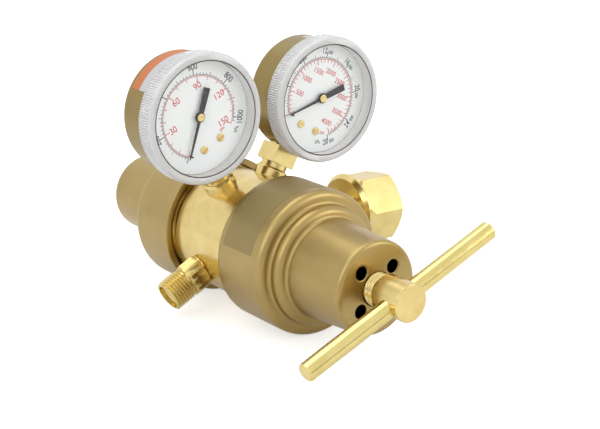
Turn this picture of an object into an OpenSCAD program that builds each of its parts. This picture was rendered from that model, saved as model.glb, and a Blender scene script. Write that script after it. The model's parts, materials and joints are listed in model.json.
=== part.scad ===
/* [Body] */
// Diameter of the body between the two bonnets
body_d = 54.8; // [53:0.2:56]
// Diameter of the relief grooves beside the rims
relief_d = 50.4; // [48:0.2:52]
// Distance from each rim's open edge to the body's full diameter
relief_gap = 1.9; // [1:0.1:3]
// Distance from the port plane forward to the front diaphragm's seat
front_seat = 38; // [38:0.5:42]
// Distance from the port plane back to the rear diaphragm's seat
rear_seat = 30; // [30:0.5:34]
// Diameter of the threaded collars that the bonnets screw over
collar_d = 55.2; // [54.6:0.1:56]
// Length of each threaded collar
collar_length = 10; // [8:0.5:11]
// Diameter of the chamber under each diaphragm
chamber_d = 42; // [41:0.5:43]
// Depth of the chamber under each diaphragm
chamber_depth = 6; // [5.5:0.25:6.5]
// Diameter of each valve pocket
pocket_d = 17; // [16:0.5:18]
// Depth of each valve pocket below the floor of its chamber
pocket_depth = 18; // [17:0.5:18.5]
// Diameter of the drilled low pressure passages
passage_d = 4; // [3:0.5:4.5]
// Diameter of the drilled high pressure passages
high_passage_d = 3; // [2:0.5:4]
// Distance of the low pressure passages from the body's axis
passage_offset = 15; // [14:0.5:16]
// Distance of the cross drilling in front of the port plane
cross_drill_y = 10; // [8.5:0.5:10.5]
// Diameter of the plug that closes the cross drilling
plug_d = 6; // [5:0.5:7]
// Length of that plug
plug_length = 5; // [4:0.5:6]

/* [Ports] */
// Tilt of each gauge port from the vertical
gauge_angle = 28.3; // [27.5:0.1:32]
// Fall of the outlet below the horizontal
outlet_fall = 28; // [25:0.5:32]
// Diameter of the bosses that carry the gauges
gauge_boss_d = 14.4; // [14:0.2:16]
// Distance from the body's axis to the top of those bosses
gauge_boss_top = 31.5; // [30:0.5:32.5]
// Diameter of the threads that screw into the body for the gauges and the outlet
port_thread_d = 11.9; // [11:0.1:12.5]
// Depth of those threads in their bosses
port_thread_depth = 10.5; // [9:0.5:11.5]
// Diameter of the boss for the outlet
outlet_boss_d = 14; // [13:0.5:18]
// Height of that boss's face above the body
outlet_boss_rise = 0.2; // [0.1:0.1:1.2]
// Diameter of the boss for the inlet
inlet_boss_d = 22; // [21:0.5:24]
// Distance from the body's axis to the face of that boss
inlet_boss_top = 38; // [37:0.5:40]
// Diameter of the thread that screws the inlet nipple into the body
inlet_thread_d = 15.9; // [15:0.1:16.5]
// Depth of that thread in its boss
inlet_thread_depth = 16; // [13:0.5:17]

/* [Bonnets] */
// Diameter of the front bonnet's rim
front_rim_d = 63; // [62:0.2:64.5]
// Diameter of the rear bonnet's rim
rear_rim_d = 62; // [61:0.2:63.5]
// Length of each rim behind the seat of its diaphragm
rim_overlap = 13; // [12:0.5:14]
// Length of the front rim past the seat of its diaphragm
front_rim_reach = 16; // [15:0.5:18]
// Length of the rear rim past the seat of its diaphragm
rear_rim_reach = 14; // [13:0.5:16]
// Radius of the rounded edge of each rim
rim_round = 3; // [2:0.25:3.5]
// Diameter of the raised step in front of the front rim
step_d = 51.6; // [50:0.2:53]
// Height of that step
step_height = 5.8; // [5:0.2:7]
// Radius of the rounded edge of the step
step_round = 3; // [2:0.1:3.2]
// Radius of the fillets at the foot of the step and of the barrel
front_cove = 1.2; // [0.8:0.1:1.3]
// Diameter of the front barrel at its foot
barrel_foot_d = 42.8; // [42:0.2:44]
// Diameter of the front barrel at its face
barrel_face_d = 39.8; // [38:0.2:41]
// Distance from the front seat to the front face of the barrel
barrel_reach = 53.4; // [52:0.2:56]
// Diameter of the rear cap
cap_d = 36.4; // [36:0.2:38]
// Distance from the rear seat to the end of the rear cap
cap_reach = 56.6; // [55:0.2:59]
// Thickness of the front barrel's end wall
face_wall = 7.4; // [6.5:0.1:8]
// Thickness of the rear cap's end wall
cap_wall = 6.6; // [6:0.1:8]
// Diameter of the wide part of each bonnet's hollow
hollow_d = 45; // [44.6:0.2:46]
// Depth of that wide part past the diaphragm's seat
hollow_depth = 9; // [8:0.5:9.5]
// Diameter of the spring space in the front barrel
front_hollow_d = 33.4; // [32.6:0.2:34]
// Diameter of the spring space in the rear cap
rear_hollow_d = 29; // [28:0.2:29.4]
// Diameter of the vent holes in the front face
vent_d = 6; // [5:0.2:6.4]
// Diameter of the circle that the vent holes lie on
vent_circle_d = 22.6; // [21.6:0.2:23.6]
// Number of vent holes
vent_count = 4; // [3:1:5]

/* [Diaphragms and springs] */
// Thickness of each diaphragm
diaphragm_t = 1; // [0.8:0.1:1.4]
// Thickness of each slip ring
slip_t = 1; // [0.8:0.1:1.4]
// Diameter of each diaphragm's plate
plate_d = 35; // [33:0.5:38]
// Thickness of each diaphragm's plate
plate_t = 2.2; // [1.8:0.1:2.8]
// Height of the spring guide on each plate
guide_height = 2.5; // [1.5:0.1:3.5]
// Diameter of the stem that clamps the plate through its diaphragm
clamp_stem_d = 6; // [5:0.2:6.6]
// Diameter of the clamp nut under each diaphragm
clamp_nut_d = 15; // [13:0.5:17]
// Thickness of that nut
clamp_nut_t = 1.6; // [1.2:0.1:1.8]
// Length of the adjusting spring as it stands
adjusting_spring_length = 28.8; // [27:0.2:30]
// Mean diameter of the adjusting spring
adjusting_spring_d = 23.6; // [23.2:0.2:24.4]
// Thickness of the adjusting spring's wire
adjusting_wire_d = 2.8; // [2.4:0.1:3]
// Turns of the adjusting spring
adjusting_turns = 6; // [5:1:7]
// Length of the preset spring as it stands
preset_spring_length = 30.8; // [29:0.2:32]
// Mean diameter of the preset spring
preset_spring_d = 21; // [20.6:0.2:21.6]
// Thickness of the preset spring's wire
preset_wire_d = 3; // [2.6:0.1:3.2]
// Turns of the preset spring
preset_turns = 7; // [6:1:8]
// Thickness of each spring button's flange
button_t = 3; // [2.5:0.1:3.5]
// Length of the spigot that centres each spring on its button
spigot_length = 3.5; // [2.5:0.1:4]

/* [Adjusting screw] */
// Diameter of the adjusting screw's thread
screw_d = 14; // [13:0.1:14.5]
// Diameter of the plain point that turns in the spring button
screw_point_d = 6; // [5:0.1:7]
// Length of that point
screw_point_length = 4.8; // [4.2:0.1:5.4]
// Bare thread between the bonnet's face and the hub
screw_bare = 5.4; // [5.2:0.1:7]
// Diameter of the screw's hub
hub_d = 15.9; // [15.2:0.1:17]
// Length of the hub
hub_length = 15.4; // [14:0.2:17]
// Diameter of the cross bar
bar_d = 7.94; // [7:0.02:8.6]
// Length of the cross bar
bar_length = 101.6; // [90:0.2:115]
// Tilt of the cross bar from the horizontal
bar_tilt = 23; // [0:1:45]
// Distance from the hub's outer face to the cross bar's axis
bar_inset = 6.4; // [5.4:0.1:7.4]
// Diameter of the preset screw
preset_screw_d = 10; // [9:0.1:11]
// Length of the preset screw
preset_screw_length = 18; // [17:0.2:18.6]

/* [Valves] */
// Diameter of each nozzle's flange
nozzle_flange_d = 21; // [20:0.5:23]
// Thickness of that flange
nozzle_flange_t = 1.4; // [1:0.1:1.8]
// Length of each nozzle below its flange
nozzle_length = 6; // [5:0.2:7]
// Diameter of the bore in each nozzle
nozzle_bore_d = 3.8; // [3.2:0.1:4.2]
// Height of the lip that each valve closes on
lip_height = 1; // [0.8:0.1:1.2]
// Outer diameter of that lip
lip_d = 6.8; // [6.2:0.1:7.4]
// Diameter of each valve's stem
valve_stem_d = 2; // [1.6:0.1:2.4]
// Diameter of each valve's head
valve_head_d = 8.4; // [7.8:0.1:9]
// Thickness of each valve's head
valve_head_t = 3.4; // [3:0.1:3.8]
// Thickness of the soft seat on each valve's head
soft_seat_t = 0.6; // [0.5:0.05:0.8]
// Mean diameter of each valve spring
valve_spring_d = 5.8; // [5.4:0.1:6.2]
// Thickness of each valve spring's wire
valve_wire_d = 0.7; // [0.6:0.05:0.8]
// Turns of each valve spring
valve_turns = 5; // [4:1:6]

/* [Inlet] */
// Distance from the body's axis to the end of the nipple's straight nose
nose_reach = 72.5; // [71.5:0.5:74]
// Diameter of the nipple's nose
nose_d = 11.2; // [10.6:0.1:11.8]
// Length of the rounded tip in front of the straight nose
nose_tip = 3.5; // [3:0.1:4]
// Distance from the body's axis to the shoulder that pulls the nipple in
collar_reach = 62; // [61:0.5:63]
// Diameter of the nipple's collar inside the nut
nipple_collar_d = 20; // [18:0.5:20.6]
// Thickness of that collar
nipple_collar_t = 3.5; // [3:0.1:4]
// Diameter of the shank that the nut turns on
shank_d = 14.2; // [13.4:0.1:15]
// Distance across the flats of the nipple's wrench hexagon
nipple_hex = 20; // [19:0.5:21]
// Length of that hexagon
nipple_hex_length = 7; // [6:0.5:8]
// Diameter of the nipple's bore
nipple_bore_d = 4.8; // [4:0.2:5.4]
// Diameter of the inlet filter
filter_d = 9.8; // [9:0.1:10.4]
// Length of the inlet filter
filter_length = 9; // [7:0.5:10]
// Distance across the flats of the inlet nut
nut_hex = 30; // [28.6:0.2:31]
// Distance from the body's axis to the back of the nut
nut_back = 56; // [55:0.5:57]
// Length of the nut
nut_length = 23.2; // [22.4:0.2:25]
// Length of the nut's turned collar
nut_collar_length = 2.5; // [2:0.1:3]
// Diameter of the nut's turned collar
nut_collar_d = 35; // [34:0.2:36]
// Inner diameter of the nut's thread
nut_thread_d = 22; // [21.6:0.1:22.6]
// Length of the chamfer on the nut's front corners
nut_chamfer = 1.4; // [1:0.1:2]

/* [Outlet] */
// Distance across the flats of the outlet's hexagon
outlet_hex = 14.3; // [14:0.1:15.9]
// Length of that hexagon
outlet_hex_length = 8; // [7:0.2:9]
// Diameter of the outlet's thread
outlet_thread_d = 14.28; // [13.8:0.02:14.6]
// Length of the outlet's threaded end
outlet_thread_length = 9.8; // [9:0.2:11]
// Length of the relief between the hexagon and the thread
outlet_relief = 1.2; // [0.8:0.1:1.6]
// Diameter of the outlet's bore
outlet_bore_d = 6.4; // [5.6:0.1:7]
// Diameter of the outlet's mouth
outlet_mouth_d = 11.2; // [10:0.1:11.6]
// Depth of the mouth's straight part in front of the cone seat
outlet_mouth_depth = 2; // [1:0.1:3]

/* [Gauges] */
// Distance from the body's axis to the centre of each gauge
gauge_height = 67.6; // [67:0.2:70]
// Outer diameter of the lens
lens_d = 56; // [55.4:0.1:57]
// Length of the lens's ribbed rim
lens_rim_length = 8.2; // [7.6:0.1:9]
// Thickness of the lens's window
window_t = 1.6; // [1.2:0.1:2]
// Distance from the port plane to the front of the window
window_front = 18.6; // [18.2:0.1:19.4]
// Number of ribs on the lens's rim
rib_count = 72; // [48:1:96]
// Depth of the grooves between the ribs
rib_depth = 0.5; // [0.3:0.05:0.7]
// Outer diameter of the case
case_d = 51.6; // [51.2:0.1:52]
// Thickness of the case's wall
case_wall = 1; // [0.8:0.05:1.1]
// Distance from the port plane to the back of the case
case_back = 5.96; // [5.5:0.02:6.4]
// Distance from the port plane to the front edge of the case
case_front = 11.5; // [11.2:0.1:11.8]
// Radius of the rounded back edge of the case
case_round = 2.2; // [1.6:0.1:2.6]
// Distance across the flats of the square wrench block
block_w = 12; // [11.5:0.1:12.4]
// Distance from the body's axis to the foot of that block
block_foot = 33.7; // [33:0.1:34.4]
// Diameter of the neck between the block and the head in the case
neck_d = 10; // [9:0.2:10.6]
// Width of the socket's head inside the case
head_w = 12.8; // [12.4:0.1:13.2]
// Height of the top of the head below the gauge's centre
head_top = 11.4; // [11.4:0.1:11.8]
// Diameter of the dial
dial_d = 49; // [48:0.1:49.2]
// Thickness of the dial
dial_t = 0.8; // [0.5:0.05:0.8]
// Distance of each dial screw from the gauge's upright centre line
dial_screw_x = 4.6; // [4.2:0.1:4.8]
// Distance of the dial screws below the gauge's centre
dial_screw_drop = 14.2; // [13.9:0.1:14.6]
// Length of the pointer from its axis to its tip
pointer_length = 18.6; // [16:0.2:20]
// Length of the pointer's tail
pointer_tail = 12.6; // [10:0.2:14]
// Thickness of the pointer
pointer_t = 0.4; // [0.3:0.05:0.5]
// Diameter of the pointer's hub
pointer_hub_d = 4.6; // [4:0.1:5]
// Diameter of the raised cap on that hub
pointer_cap_d = 3.5; // [3:0.1:3.8]
// Distance of the stop pin from the pointer's axis
stop_radius = 17; // [16:0.1:17.4]
// Diameter of the stop pin that the pointer rests on at zero
stop_d = 0.7; // [0.5:0.05:0.8]
// Place of the pointer at zero, anticlockwise from three o'clock
zero_angle = 225; // [220:1:230]

/* [Gauge movement] */
// Tooth size of the pinion and sector, as pitch diameter over teeth
tooth_module = 0.25; // [0.24:0.002:0.26]
// Number of teeth on the pinion
pinion_teeth = 12; // [12:1:12]
// Number of teeth on a full circle of the sector's size
sector_teeth = 72; // [72:1:72]
// Number of teeth cut on the sector
sector_cut = 13; // [12:1:13]
// Direction of the sector's pivot from the pinion
sector_place = -35; // [-37:0.5:-34]
// Length of the sector's tail
tail_length = 5; // [4.5:0.1:5.2]
// Direction of that tail at zero
tail_angle = -60; // [-62:1:-56]
// Diameter of the pinion's arbor
arbor_d = 1.2; // [1:0.05:1.3]
// Diameter of the sector's arbor
sector_arbor_d = 1.1; // [1:0.05:1.2]
// Thickness of the sector and of the link
sector_t = 1; // [0.8:0.05:1.05]
// Thickness of the movement's plates
frame_t = 1; // [0.8:0.05:1]
// Distance from the port plane to the front of the movement's back plate
back_plate_y = 3; // [2.8:0.1:3.2]
// Mean radius of the Bourdon tube
tube_radius = 18.5; // [18.3:0.1:18.8]
// Thickness of the Bourdon tube, across its flat
tube_t = 2.6; // [2.3:0.1:2.8]
// Width of the Bourdon tube, front to back
tube_w = 8; // [7.6:0.1:8.2]
// Wall of the Bourdon tube
tube_wall = 0.35; // [0.3:0.01:0.4]
// Arc of the Bourdon tube
tube_arc = 265; // [262:1:267]
// Arc of solid metal that closes the tube's tip
tube_plug_arc = 4; // [3:0.5:5]
// Turns of the hairspring
hair_turns = 3; // [2:1:4]
// Outer radius of the hairspring
hair_radius = 4.6; // [4.2:0.1:5]
// Thickness of the hairspring's strip
hair_t = 0.2; // [0.15:0.01:0.25]

/* [Clearances] */
// Gap between pieces that turn or slide in one another
running_gap = 0.06; // [0.04:0.01:0.09]
// Gap around pieces that screw or press into one another
seat_gap = 0.05; // [0.03:0.01:0.08]
// Gap between the nut's shoulder and the nipple's collar
shoulder_gap = 0.1; // [0.08:0.01:0.2]
// Gap between a closed valve and its lip
valve_gap = 0.05; // [0.03:0.01:0.1]
// Gap around what centres a coil spring from inside
spring_play = 0.3; // [0.25:0.05:0.5]
// Gap between a gauge's pointer at zero and its stop pin
stop_gap = 0.08; // [0.07:0.01:0.15]

/* [Hidden] */
$fn = 96;
eps = 0.01;
satin_gold = [0.70, 0.62, 0.42];
bright_brass = [0.88, 0.78, 0.48];
dark_brass = [0.72, 0.58, 0.32];
steel = [0.68, 0.69, 0.70];
rubber = [0.16, 0.16, 0.17];
dial_white = [0.95, 0.95, 0.93];
needle_black = [0.05, 0.05, 0.05];
clear = [0.85, 0.92, 0.95, 0.35];
bronze = [0.62, 0.46, 0.26];
inlet_angle = 90;
outlet_angle = -90 - outlet_fall;
outlet_boss_top = body_d / 2 + outlet_boss_rise;
edge = 0.5;
chamber_floor = -chamber_depth;
pocket_floor = chamber_floor - pocket_depth;
shoulder = diaphragm_t + slip_t;
plate_top = diaphragm_t + plate_t;
lip_z = chamber_floor - nozzle_length - lip_height;
seat_face = lip_z - valve_gap;
head_face = seat_face - soft_seat_t;
head_back = head_face - valve_head_t;
valve_spigot = 3;
adjusting_button_z = plate_top + adjusting_spring_length;
preset_button_z = plate_top + preset_spring_length;
hub_z = barrel_reach + screw_bare;
bar_z = hub_z + hub_length - bar_inset;
dimple_depth = 3.4;
gauge_thread_foot = gauge_boss_top - port_thread_depth;
dial_front = case_front + 0.7;
dial_back = dial_front - dial_t;
pointer_front = dial_front + 1.7;
needle_end = pointer_length - 1.5;
needle_root = 0.75;
needle_half = 0.3;
sector_y = back_plate_y + 3.5;
link_y = sector_y + sector_t + 0.2;
pinion_r = tooth_module * pinion_teeth / 2;
sector_r = tooth_module * sector_teeth / 2;
pivot_x = (pinion_r + sector_r) * cos(sector_place);
pivot_z = (pinion_r + sector_r) * sin(sector_place);
mesh_angle = sector_place + 180;
sector_swing = 45;
tail_x = pivot_x + tail_length * cos(tail_angle);
tail_z = pivot_z + tail_length * sin(tail_angle);
tube_start = -100;
tip_angle = tube_start - tube_arc + 360;
tip_x = 16;
tip_z = -4.5;
tube_y = tube_w / 2 + 1;
tip_block_length = 3.2;
tip_block_w = 5;
tip_block_t = 1.6;
tip_block_inset = 2.2;
tip_block_lap = 0.4;
lug_r = 1.4;
lug_slant = 0.6;
lug_rise = 0.8;
lug_back = 1.2;
lug_hole_r = 0.6;
frame_foot = 3.4;
frame_lap = 1.6;
head_back_y = 0.5;
collet_r = 1.3;

// Frames

// The origin is the end of the nipple's straight nose; pieces are drawn about the body's axis
module about_body() translate([-nose_reach, 0, 0]) children();

// Z points out of the body at the front seat
module at_front() about_body() translate([0, -front_seat, 0]) rotate([90, 0, 0]) children();

// Z points out of the body at the rear seat
module at_rear() about_body() translate([0, rear_seat, 0]) rotate([-90, 0, 0]) children();

// Z points out along a port, which leans clockwise from the vertical by an angle
module at_port(angle) about_body() rotate([0, angle, 0]) children();

// The gauge's centre, with Y to its back and Z up its own upright line
module at_gauge(side) at_port(side * gauge_angle) translate([0, 0, gauge_height]) children();

// A flat shape seen from the gauge's front, from front_y forward of the port plane and t thick
module sheet(front_y, t) translate([0, t - front_y, 0]) rotate([90, 0, 0])
    linear_extrude(t) children();

// A profile turned about the gauge's axis, with its second coordinate running to the back
module turned() rotate([-90, 0, 0]) rotate_extrude() children();

// Profile pieces

module band(r0, r1, z0, z1) translate([r0, z0]) square([r1 - r0, z1 - z0]);

// A band whose outer upper corner is rounded
module round_band(r0, r1, z0, z1, q) {
    band(r0, r1, z0, z1 - q);
    band(r0, r1 - q, z0, z1);
    translate([r1 - q, z1 - q]) circle(q);
}

// The fillet in the inner corner between a wall at r and a floor at z
module cove(r, z, q) difference() {
    translate([r - eps, z - eps]) square(q + eps);
    translate([r + q, z + q]) circle(q);
}

// A plain round length with chamfered ends
module chamfered(r, z0, z1, c0, c1) rotate_extrude()
    polygon([[0, z0], [r - c0, z0], [r, z0 + c0], [r, z1 - c1], [r - c1, z1], [0, z1]]);

function hex_r(flats) = flats / 2 / cos(30);

// A hexagon with the corners of its two ends chamfered to given radii
module hex_length(flats, z0, z1, r0, c0, r1, c1, turn) intersection() {
    translate([0, 0, z0]) rotate(turn) cylinder(r = hex_r(flats), h = z1 - z0, $fn = 6);
    rotate_extrude() polygon([[0, z0], [r0, z0], [hex_r(flats) + eps, z0 + c0],
        [hex_r(flats) + eps, z1 - c1], [r1, z1], [0, z1]]);
}

function ring_point(a, r) = [r * cos(a), r * sin(a)];

function hair_r(part) = collet_r + (hair_radius - collet_r) * part;

// A coil spring with ground ends, as rings of points joined into one skin
module coil(mean_r, wire, turns, length, z0, steps = 18, sides = 8) {
    rise = length - wire - 2 * seat_gap;
    foot = z0 + wire / 2 + seat_gap;
    dead = 0.75;
    all_turns = turns + 2 * dead;
    count = round(all_turns * steps);
    function height(t) = t < dead ? 0 : t > turns + dead ? rise : rise * (t - dead) / turns;
    points = [for (i = [0:count]) let (t = i * all_turns / count, a = t * 360)
        for (k = [0:sides - 1]) let (b = k * 360 / sides, r = mean_r + wire / 2 * cos(b))
            [r * cos(a), r * sin(a), foot + height(t) + wire / 2 * sin(b)]];
    skin = [for (i = [0:count - 1]) for (k = [0:sides - 1]) let (n = (k + 1) % sides)
        [i * sides + k, i * sides + n, (i + 1) * sides + n, (i + 1) * sides + k]];
    first = [[for (k = [sides - 1:-1:0]) k]];
    last = [[for (k = [0:sides - 1]) count * sides + k]];
    polyhedron(points, concat(skin, first, last), convexity = 10);
}

// Body

module body_profile() {
    r = body_d / 2;
    rc = collar_d / 2;
    f = -front_seat;
    b = rear_seat;
    rg = relief_d / 2;
    groove = rim_overlap + relief_gap;
    polygon([[0, f], [rc - edge, f], [rc, f + edge], [rc, f + collar_length],
        [rg, f + collar_length], [rg, f + groove], [r - edge, f + groove],
        [r, f + groove + edge], [r, b - groove - edge], [r - edge, b - groove],
        [rg, b - groove], [rg, b - collar_length], [rc, b - collar_length],
        [rc, b - edge], [rc - edge, b], [0, b]]);
}

module boss(d, top, chamfer) chamfered(d / 2, body_d / 2 - 6, top, 0, chamfer);

// A drilled hole along a port from one distance to another
module drilled(angle, d, from, to) rotate([0, angle, 0])
    translate([0, 0, from]) cylinder(d = d, h = to - from);

// A drilled hole along the body from the port plane forward, beside the axis
module forward_drilled(angle, offset_r, d, reach) rotate([0, angle, 0])
    translate([0, 0, offset_r]) rotate([90, 0, 0]) cylinder(d = d, h = reach);

module stage_cut(seat) {
    translate([0, 0, seat - chamber_depth]) cylinder(d = chamber_d, h = chamber_depth + eps);
    translate([0, 0, seat + pocket_floor]) cylinder(d = pocket_d, h = pocket_depth + eps);
}

module regulator_body() color(bright_brass) about_body() difference() {
    union() {
        rotate([-90, 0, 0]) rotate_extrude() body_profile();
        for (side = [-1, 1]) rotate([0, side * gauge_angle, 0])
            boss(gauge_boss_d, gauge_boss_top, 0.8);
        rotate([0, outlet_angle, 0]) boss(outlet_boss_d, outlet_boss_top, edge);
        rotate([0, inlet_angle, 0]) boss(inlet_boss_d, inlet_boss_top, 1);
    }
    rotate([90, 0, 0]) stage_cut(front_seat);
    rotate([-90, 0, 0]) stage_cut(rear_seat);
    thread_r = port_thread_d / 2 + seat_gap;
    for (side = [-1, 1]) drilled(side * gauge_angle, 2 * thread_r, gauge_thread_foot,
        gauge_boss_top + eps);
    drilled(outlet_angle, 2 * thread_r, outlet_boss_top - port_thread_depth,
        outlet_boss_top + eps);
    drilled(inlet_angle, inlet_thread_d + 2 * seat_gap, inlet_boss_top - inlet_thread_depth,
        inlet_boss_top + eps);
    // The cylinder's gas: from the inlet to the high gauge and the first valve
    drilled(inlet_angle, high_passage_d + 1, 0, inlet_boss_top - inlet_thread_depth + eps);
    drilled(gauge_angle, high_passage_d, 0, gauge_thread_foot + eps);
    rotate([-90, 0, 0]) cylinder(d = high_passage_d, h = rear_seat + pocket_floor + eps);
    // The first stage's gas: down beside the ports, then across to the second valve
    translate([0, rear_seat - chamber_depth + eps, -passage_offset + 2]) rotate([90, 0, 0])
        cylinder(d = high_passage_d, h = rear_seat - chamber_depth + cross_drill_y + eps);
    translate([0, -cross_drill_y, 0]) {
        drilled(180, high_passage_d, 0, body_d / 2);
        drilled(180, plug_d + 2 * seat_gap, body_d / 2 - plug_length - 1, body_d / 2 + 1);
        rotate([90, 0, 0]) cylinder(d = high_passage_d,
            h = front_seat + pocket_floor - cross_drill_y + eps);
    }
    // The regulated gas: from the front chamber to the low gauge and the outlet
    reach = front_seat - chamber_depth + eps;
    forward_drilled(-gauge_angle, passage_offset, passage_d, reach);
    drilled(-gauge_angle, passage_d, passage_offset - passage_d / 2, gauge_thread_foot + eps);
    forward_drilled(outlet_angle, passage_offset, passage_d + 1, reach);
    drilled(outlet_angle, passage_d + 1, passage_offset - passage_d / 2,
        outlet_boss_top - port_thread_depth + eps);
}

module passage_plug() color(dark_brass) about_body() translate([0, -cross_drill_y, 0])
    rotate([180, 0, 0]) difference() {
        foot = body_d / 2 - plug_length - 1;
        chamfered(plug_d / 2, foot, foot + plug_length, edge, edge);
        translate([0, 0, foot + plug_length - 2.4]) cylinder(r = hex_r(3), h = 3, $fn = 6);
    }

// Bonnets

module rim_bore() {
    band(0, collar_d / 2 + seat_gap, -rim_overlap - 1, shoulder);
    band(0, hollow_d / 2, 0, hollow_depth);
}

module front_bonnet_profile() difference() {
    union() {
        rim_end = front_rim_reach;
        step_end = rim_end + step_height;
        round_band(0, front_rim_d / 2, -rim_overlap, rim_end, rim_round);
        round_band(0, step_d / 2, 0, step_end, step_round);
        cove(step_d / 2, rim_end, front_cove);
        cove(barrel_foot_d / 2, step_end, front_cove);
        barrel_q = 1.8;
        face_r = barrel_face_d / 2;
        polygon([[0, 0], [barrel_foot_d / 2, 0], [barrel_foot_d / 2, step_end + front_cove],
            [face_r, barrel_reach - barrel_q], [0, barrel_reach - barrel_q]]);
        band(0, face_r - barrel_q, 0, barrel_reach);
        translate([face_r - barrel_q, barrel_reach - barrel_q]) circle(barrel_q);
    }
    rim_bore();
    band(0, front_hollow_d / 2, 0, barrel_reach - face_wall);
    band(0, screw_d / 2 + running_gap, 0, barrel_reach + 1);
    band(-50, 0, -50, 100);
}

module front_bonnet() color(satin_gold) at_front() difference() {
    rotate_extrude() front_bonnet_profile();
    for (k = [0:vent_count - 1]) rotate(45 + k * 360 / vent_count)
        translate([vent_circle_d / 2, 0, barrel_reach - face_wall - 1])
            cylinder(d = vent_d, h = face_wall + 2);
}

module rear_bonnet_profile() difference() {
    union() {
        round_band(0, rear_rim_d / 2, -rim_overlap, rear_rim_reach, rim_round);
        cove(cap_d / 2, rear_rim_reach, rim_round);
        round_band(0, cap_d / 2, 0, cap_reach, 4);
    }
    rim_bore();
    band(0, rear_hollow_d / 2, 0, cap_reach - cap_wall);
    band(0, preset_screw_d / 2 + seat_gap, 0, cap_reach + 1);
    band(-50, 0, -50, 100);
}

module rear_bonnet() color(satin_gold) at_rear() rotate_extrude() rear_bonnet_profile();

// Diaphragms, plates and springs

module diaphragm() color(rubber) rotate_extrude()
    band(clamp_stem_d / 2 + seat_gap, collar_d / 2 - edge, 0, diaphragm_t);

module slip_ring() color(bright_brass) rotate_extrude()
    band(chamber_d / 2, collar_d / 2 - edge, diaphragm_t, shoulder);

module plate(guide_d) color(bright_brass) rotate_extrude() {
    round_band(0, plate_d / 2, diaphragm_t, plate_top, 0.6);
    round_band(0, guide_d / 2, diaphragm_t, plate_top + guide_height, 0.6);
    band(0, clamp_stem_d / 2, -clamp_nut_t, diaphragm_t + eps);
}

module clamp_nut() color(dark_brass) difference() {
    translate([0, 0, -clamp_nut_t]) cylinder(d = clamp_nut_d, h = clamp_nut_t);
    translate([0, 0, -clamp_nut_t - 1]) cylinder(d = clamp_stem_d + 2 * seat_gap,
        h = clamp_nut_t + 2);
    for (a = [0, 180]) rotate(a) translate([clamp_nut_d / 2 - 2, 0, -clamp_nut_t - 1])
        cylinder(d = 1.6, h = 2);
}

module front_diaphragm() at_front() diaphragm();
module rear_diaphragm() at_rear() diaphragm();
module front_slip_ring() at_front() slip_ring();
module rear_slip_ring() at_rear() slip_ring();
module front_diaphragm_plate() at_front()
    plate(adjusting_spring_d - adjusting_wire_d - 2 * spring_play);
module rear_diaphragm_plate() at_rear() plate(preset_spring_d - preset_wire_d - 2 * spring_play);
module front_clamp_nut() at_front() clamp_nut();
module rear_clamp_nut() at_rear() clamp_nut();

module adjusting_spring() color(steel) at_front() coil(adjusting_spring_d / 2,
    adjusting_wire_d, adjusting_turns, adjusting_spring_length, plate_top);

module preset_spring() color(steel) at_rear() coil(preset_spring_d / 2, preset_wire_d,
    preset_turns, preset_spring_length, plate_top);

// A flanged cup that centres a spring and takes a screw's point
module button(z, spring_d, wire, point_d) rotate_extrude() difference() {
    union() {
        round_band(0, (spring_d + wire) / 2 + 0.8, z, z + button_t, 0.6);
        band(0, (spring_d - wire) / 2 - spring_play, z - spigot_length, z + eps);
    }
    band(0, point_d / 2 + running_gap, z + button_t - dimple_depth, z + button_t + 1);
    band(-50, 0, 0, 100);
}

module spring_button() color(dark_brass) at_front() button(adjusting_button_z,
    adjusting_spring_d, adjusting_wire_d, screw_point_d);

module preset_button() color(dark_brass) at_rear() button(preset_button_z,
    preset_spring_d, preset_wire_d, screw_point_d);

// Adjusting screw and its cross bar

module adjusting_screw() color(bright_brass) at_front() difference() {
    point_end = adjusting_button_z + button_t - dimple_depth + running_gap;
    point_top = point_end + screw_point_length;
    taper = (screw_d - screw_point_d) / 2;
    rotate_extrude() {
        polygon([[0, point_end], [screw_point_d / 2 - edge, point_end],
            [screw_point_d / 2, point_end + edge], [screw_point_d / 2, point_top],
            [screw_d / 2, point_top + taper], [screw_d / 2, hub_z + eps], [0, hub_z + eps]]);
        polygon([[0, hub_z], [hub_d / 2 - 0.9, hub_z], [hub_d / 2, hub_z + 0.9],
            [hub_d / 2, hub_z + hub_length - edge],
            [hub_d / 2 - edge, hub_z + hub_length], [0, hub_z + hub_length]]);
    }
    translate([0, 0, bar_z]) rotate(bar_tilt) rotate([0, 90, 0])
        cylinder(d = bar_d + 2 * seat_gap, h = 2 * hub_d, center = true);
}

module tee_bar() color(bright_brass) at_front() translate([0, 0, bar_z]) rotate(bar_tilt)
    rotate([0, 90, 0]) chamfered(bar_d / 2, -bar_length / 2, bar_length / 2, 0.7, 0.7);

module preset_screw() color(steel) at_rear() difference() {
    point_end = preset_button_z + button_t - dimple_depth + running_gap;
    top = point_end + preset_screw_length;
    rotate_extrude() polygon([[0, point_end], [screw_point_d / 2, point_end],
        [screw_point_d / 2, point_end + 4], [preset_screw_d / 2, point_end + 6],
        [preset_screw_d / 2, top - edge], [preset_screw_d / 2 - edge, top], [0, top]]);
    translate([0, 0, top - 4]) cylinder(r = hex_r(5), h = 5, $fn = 6);
}

// Valves

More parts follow.
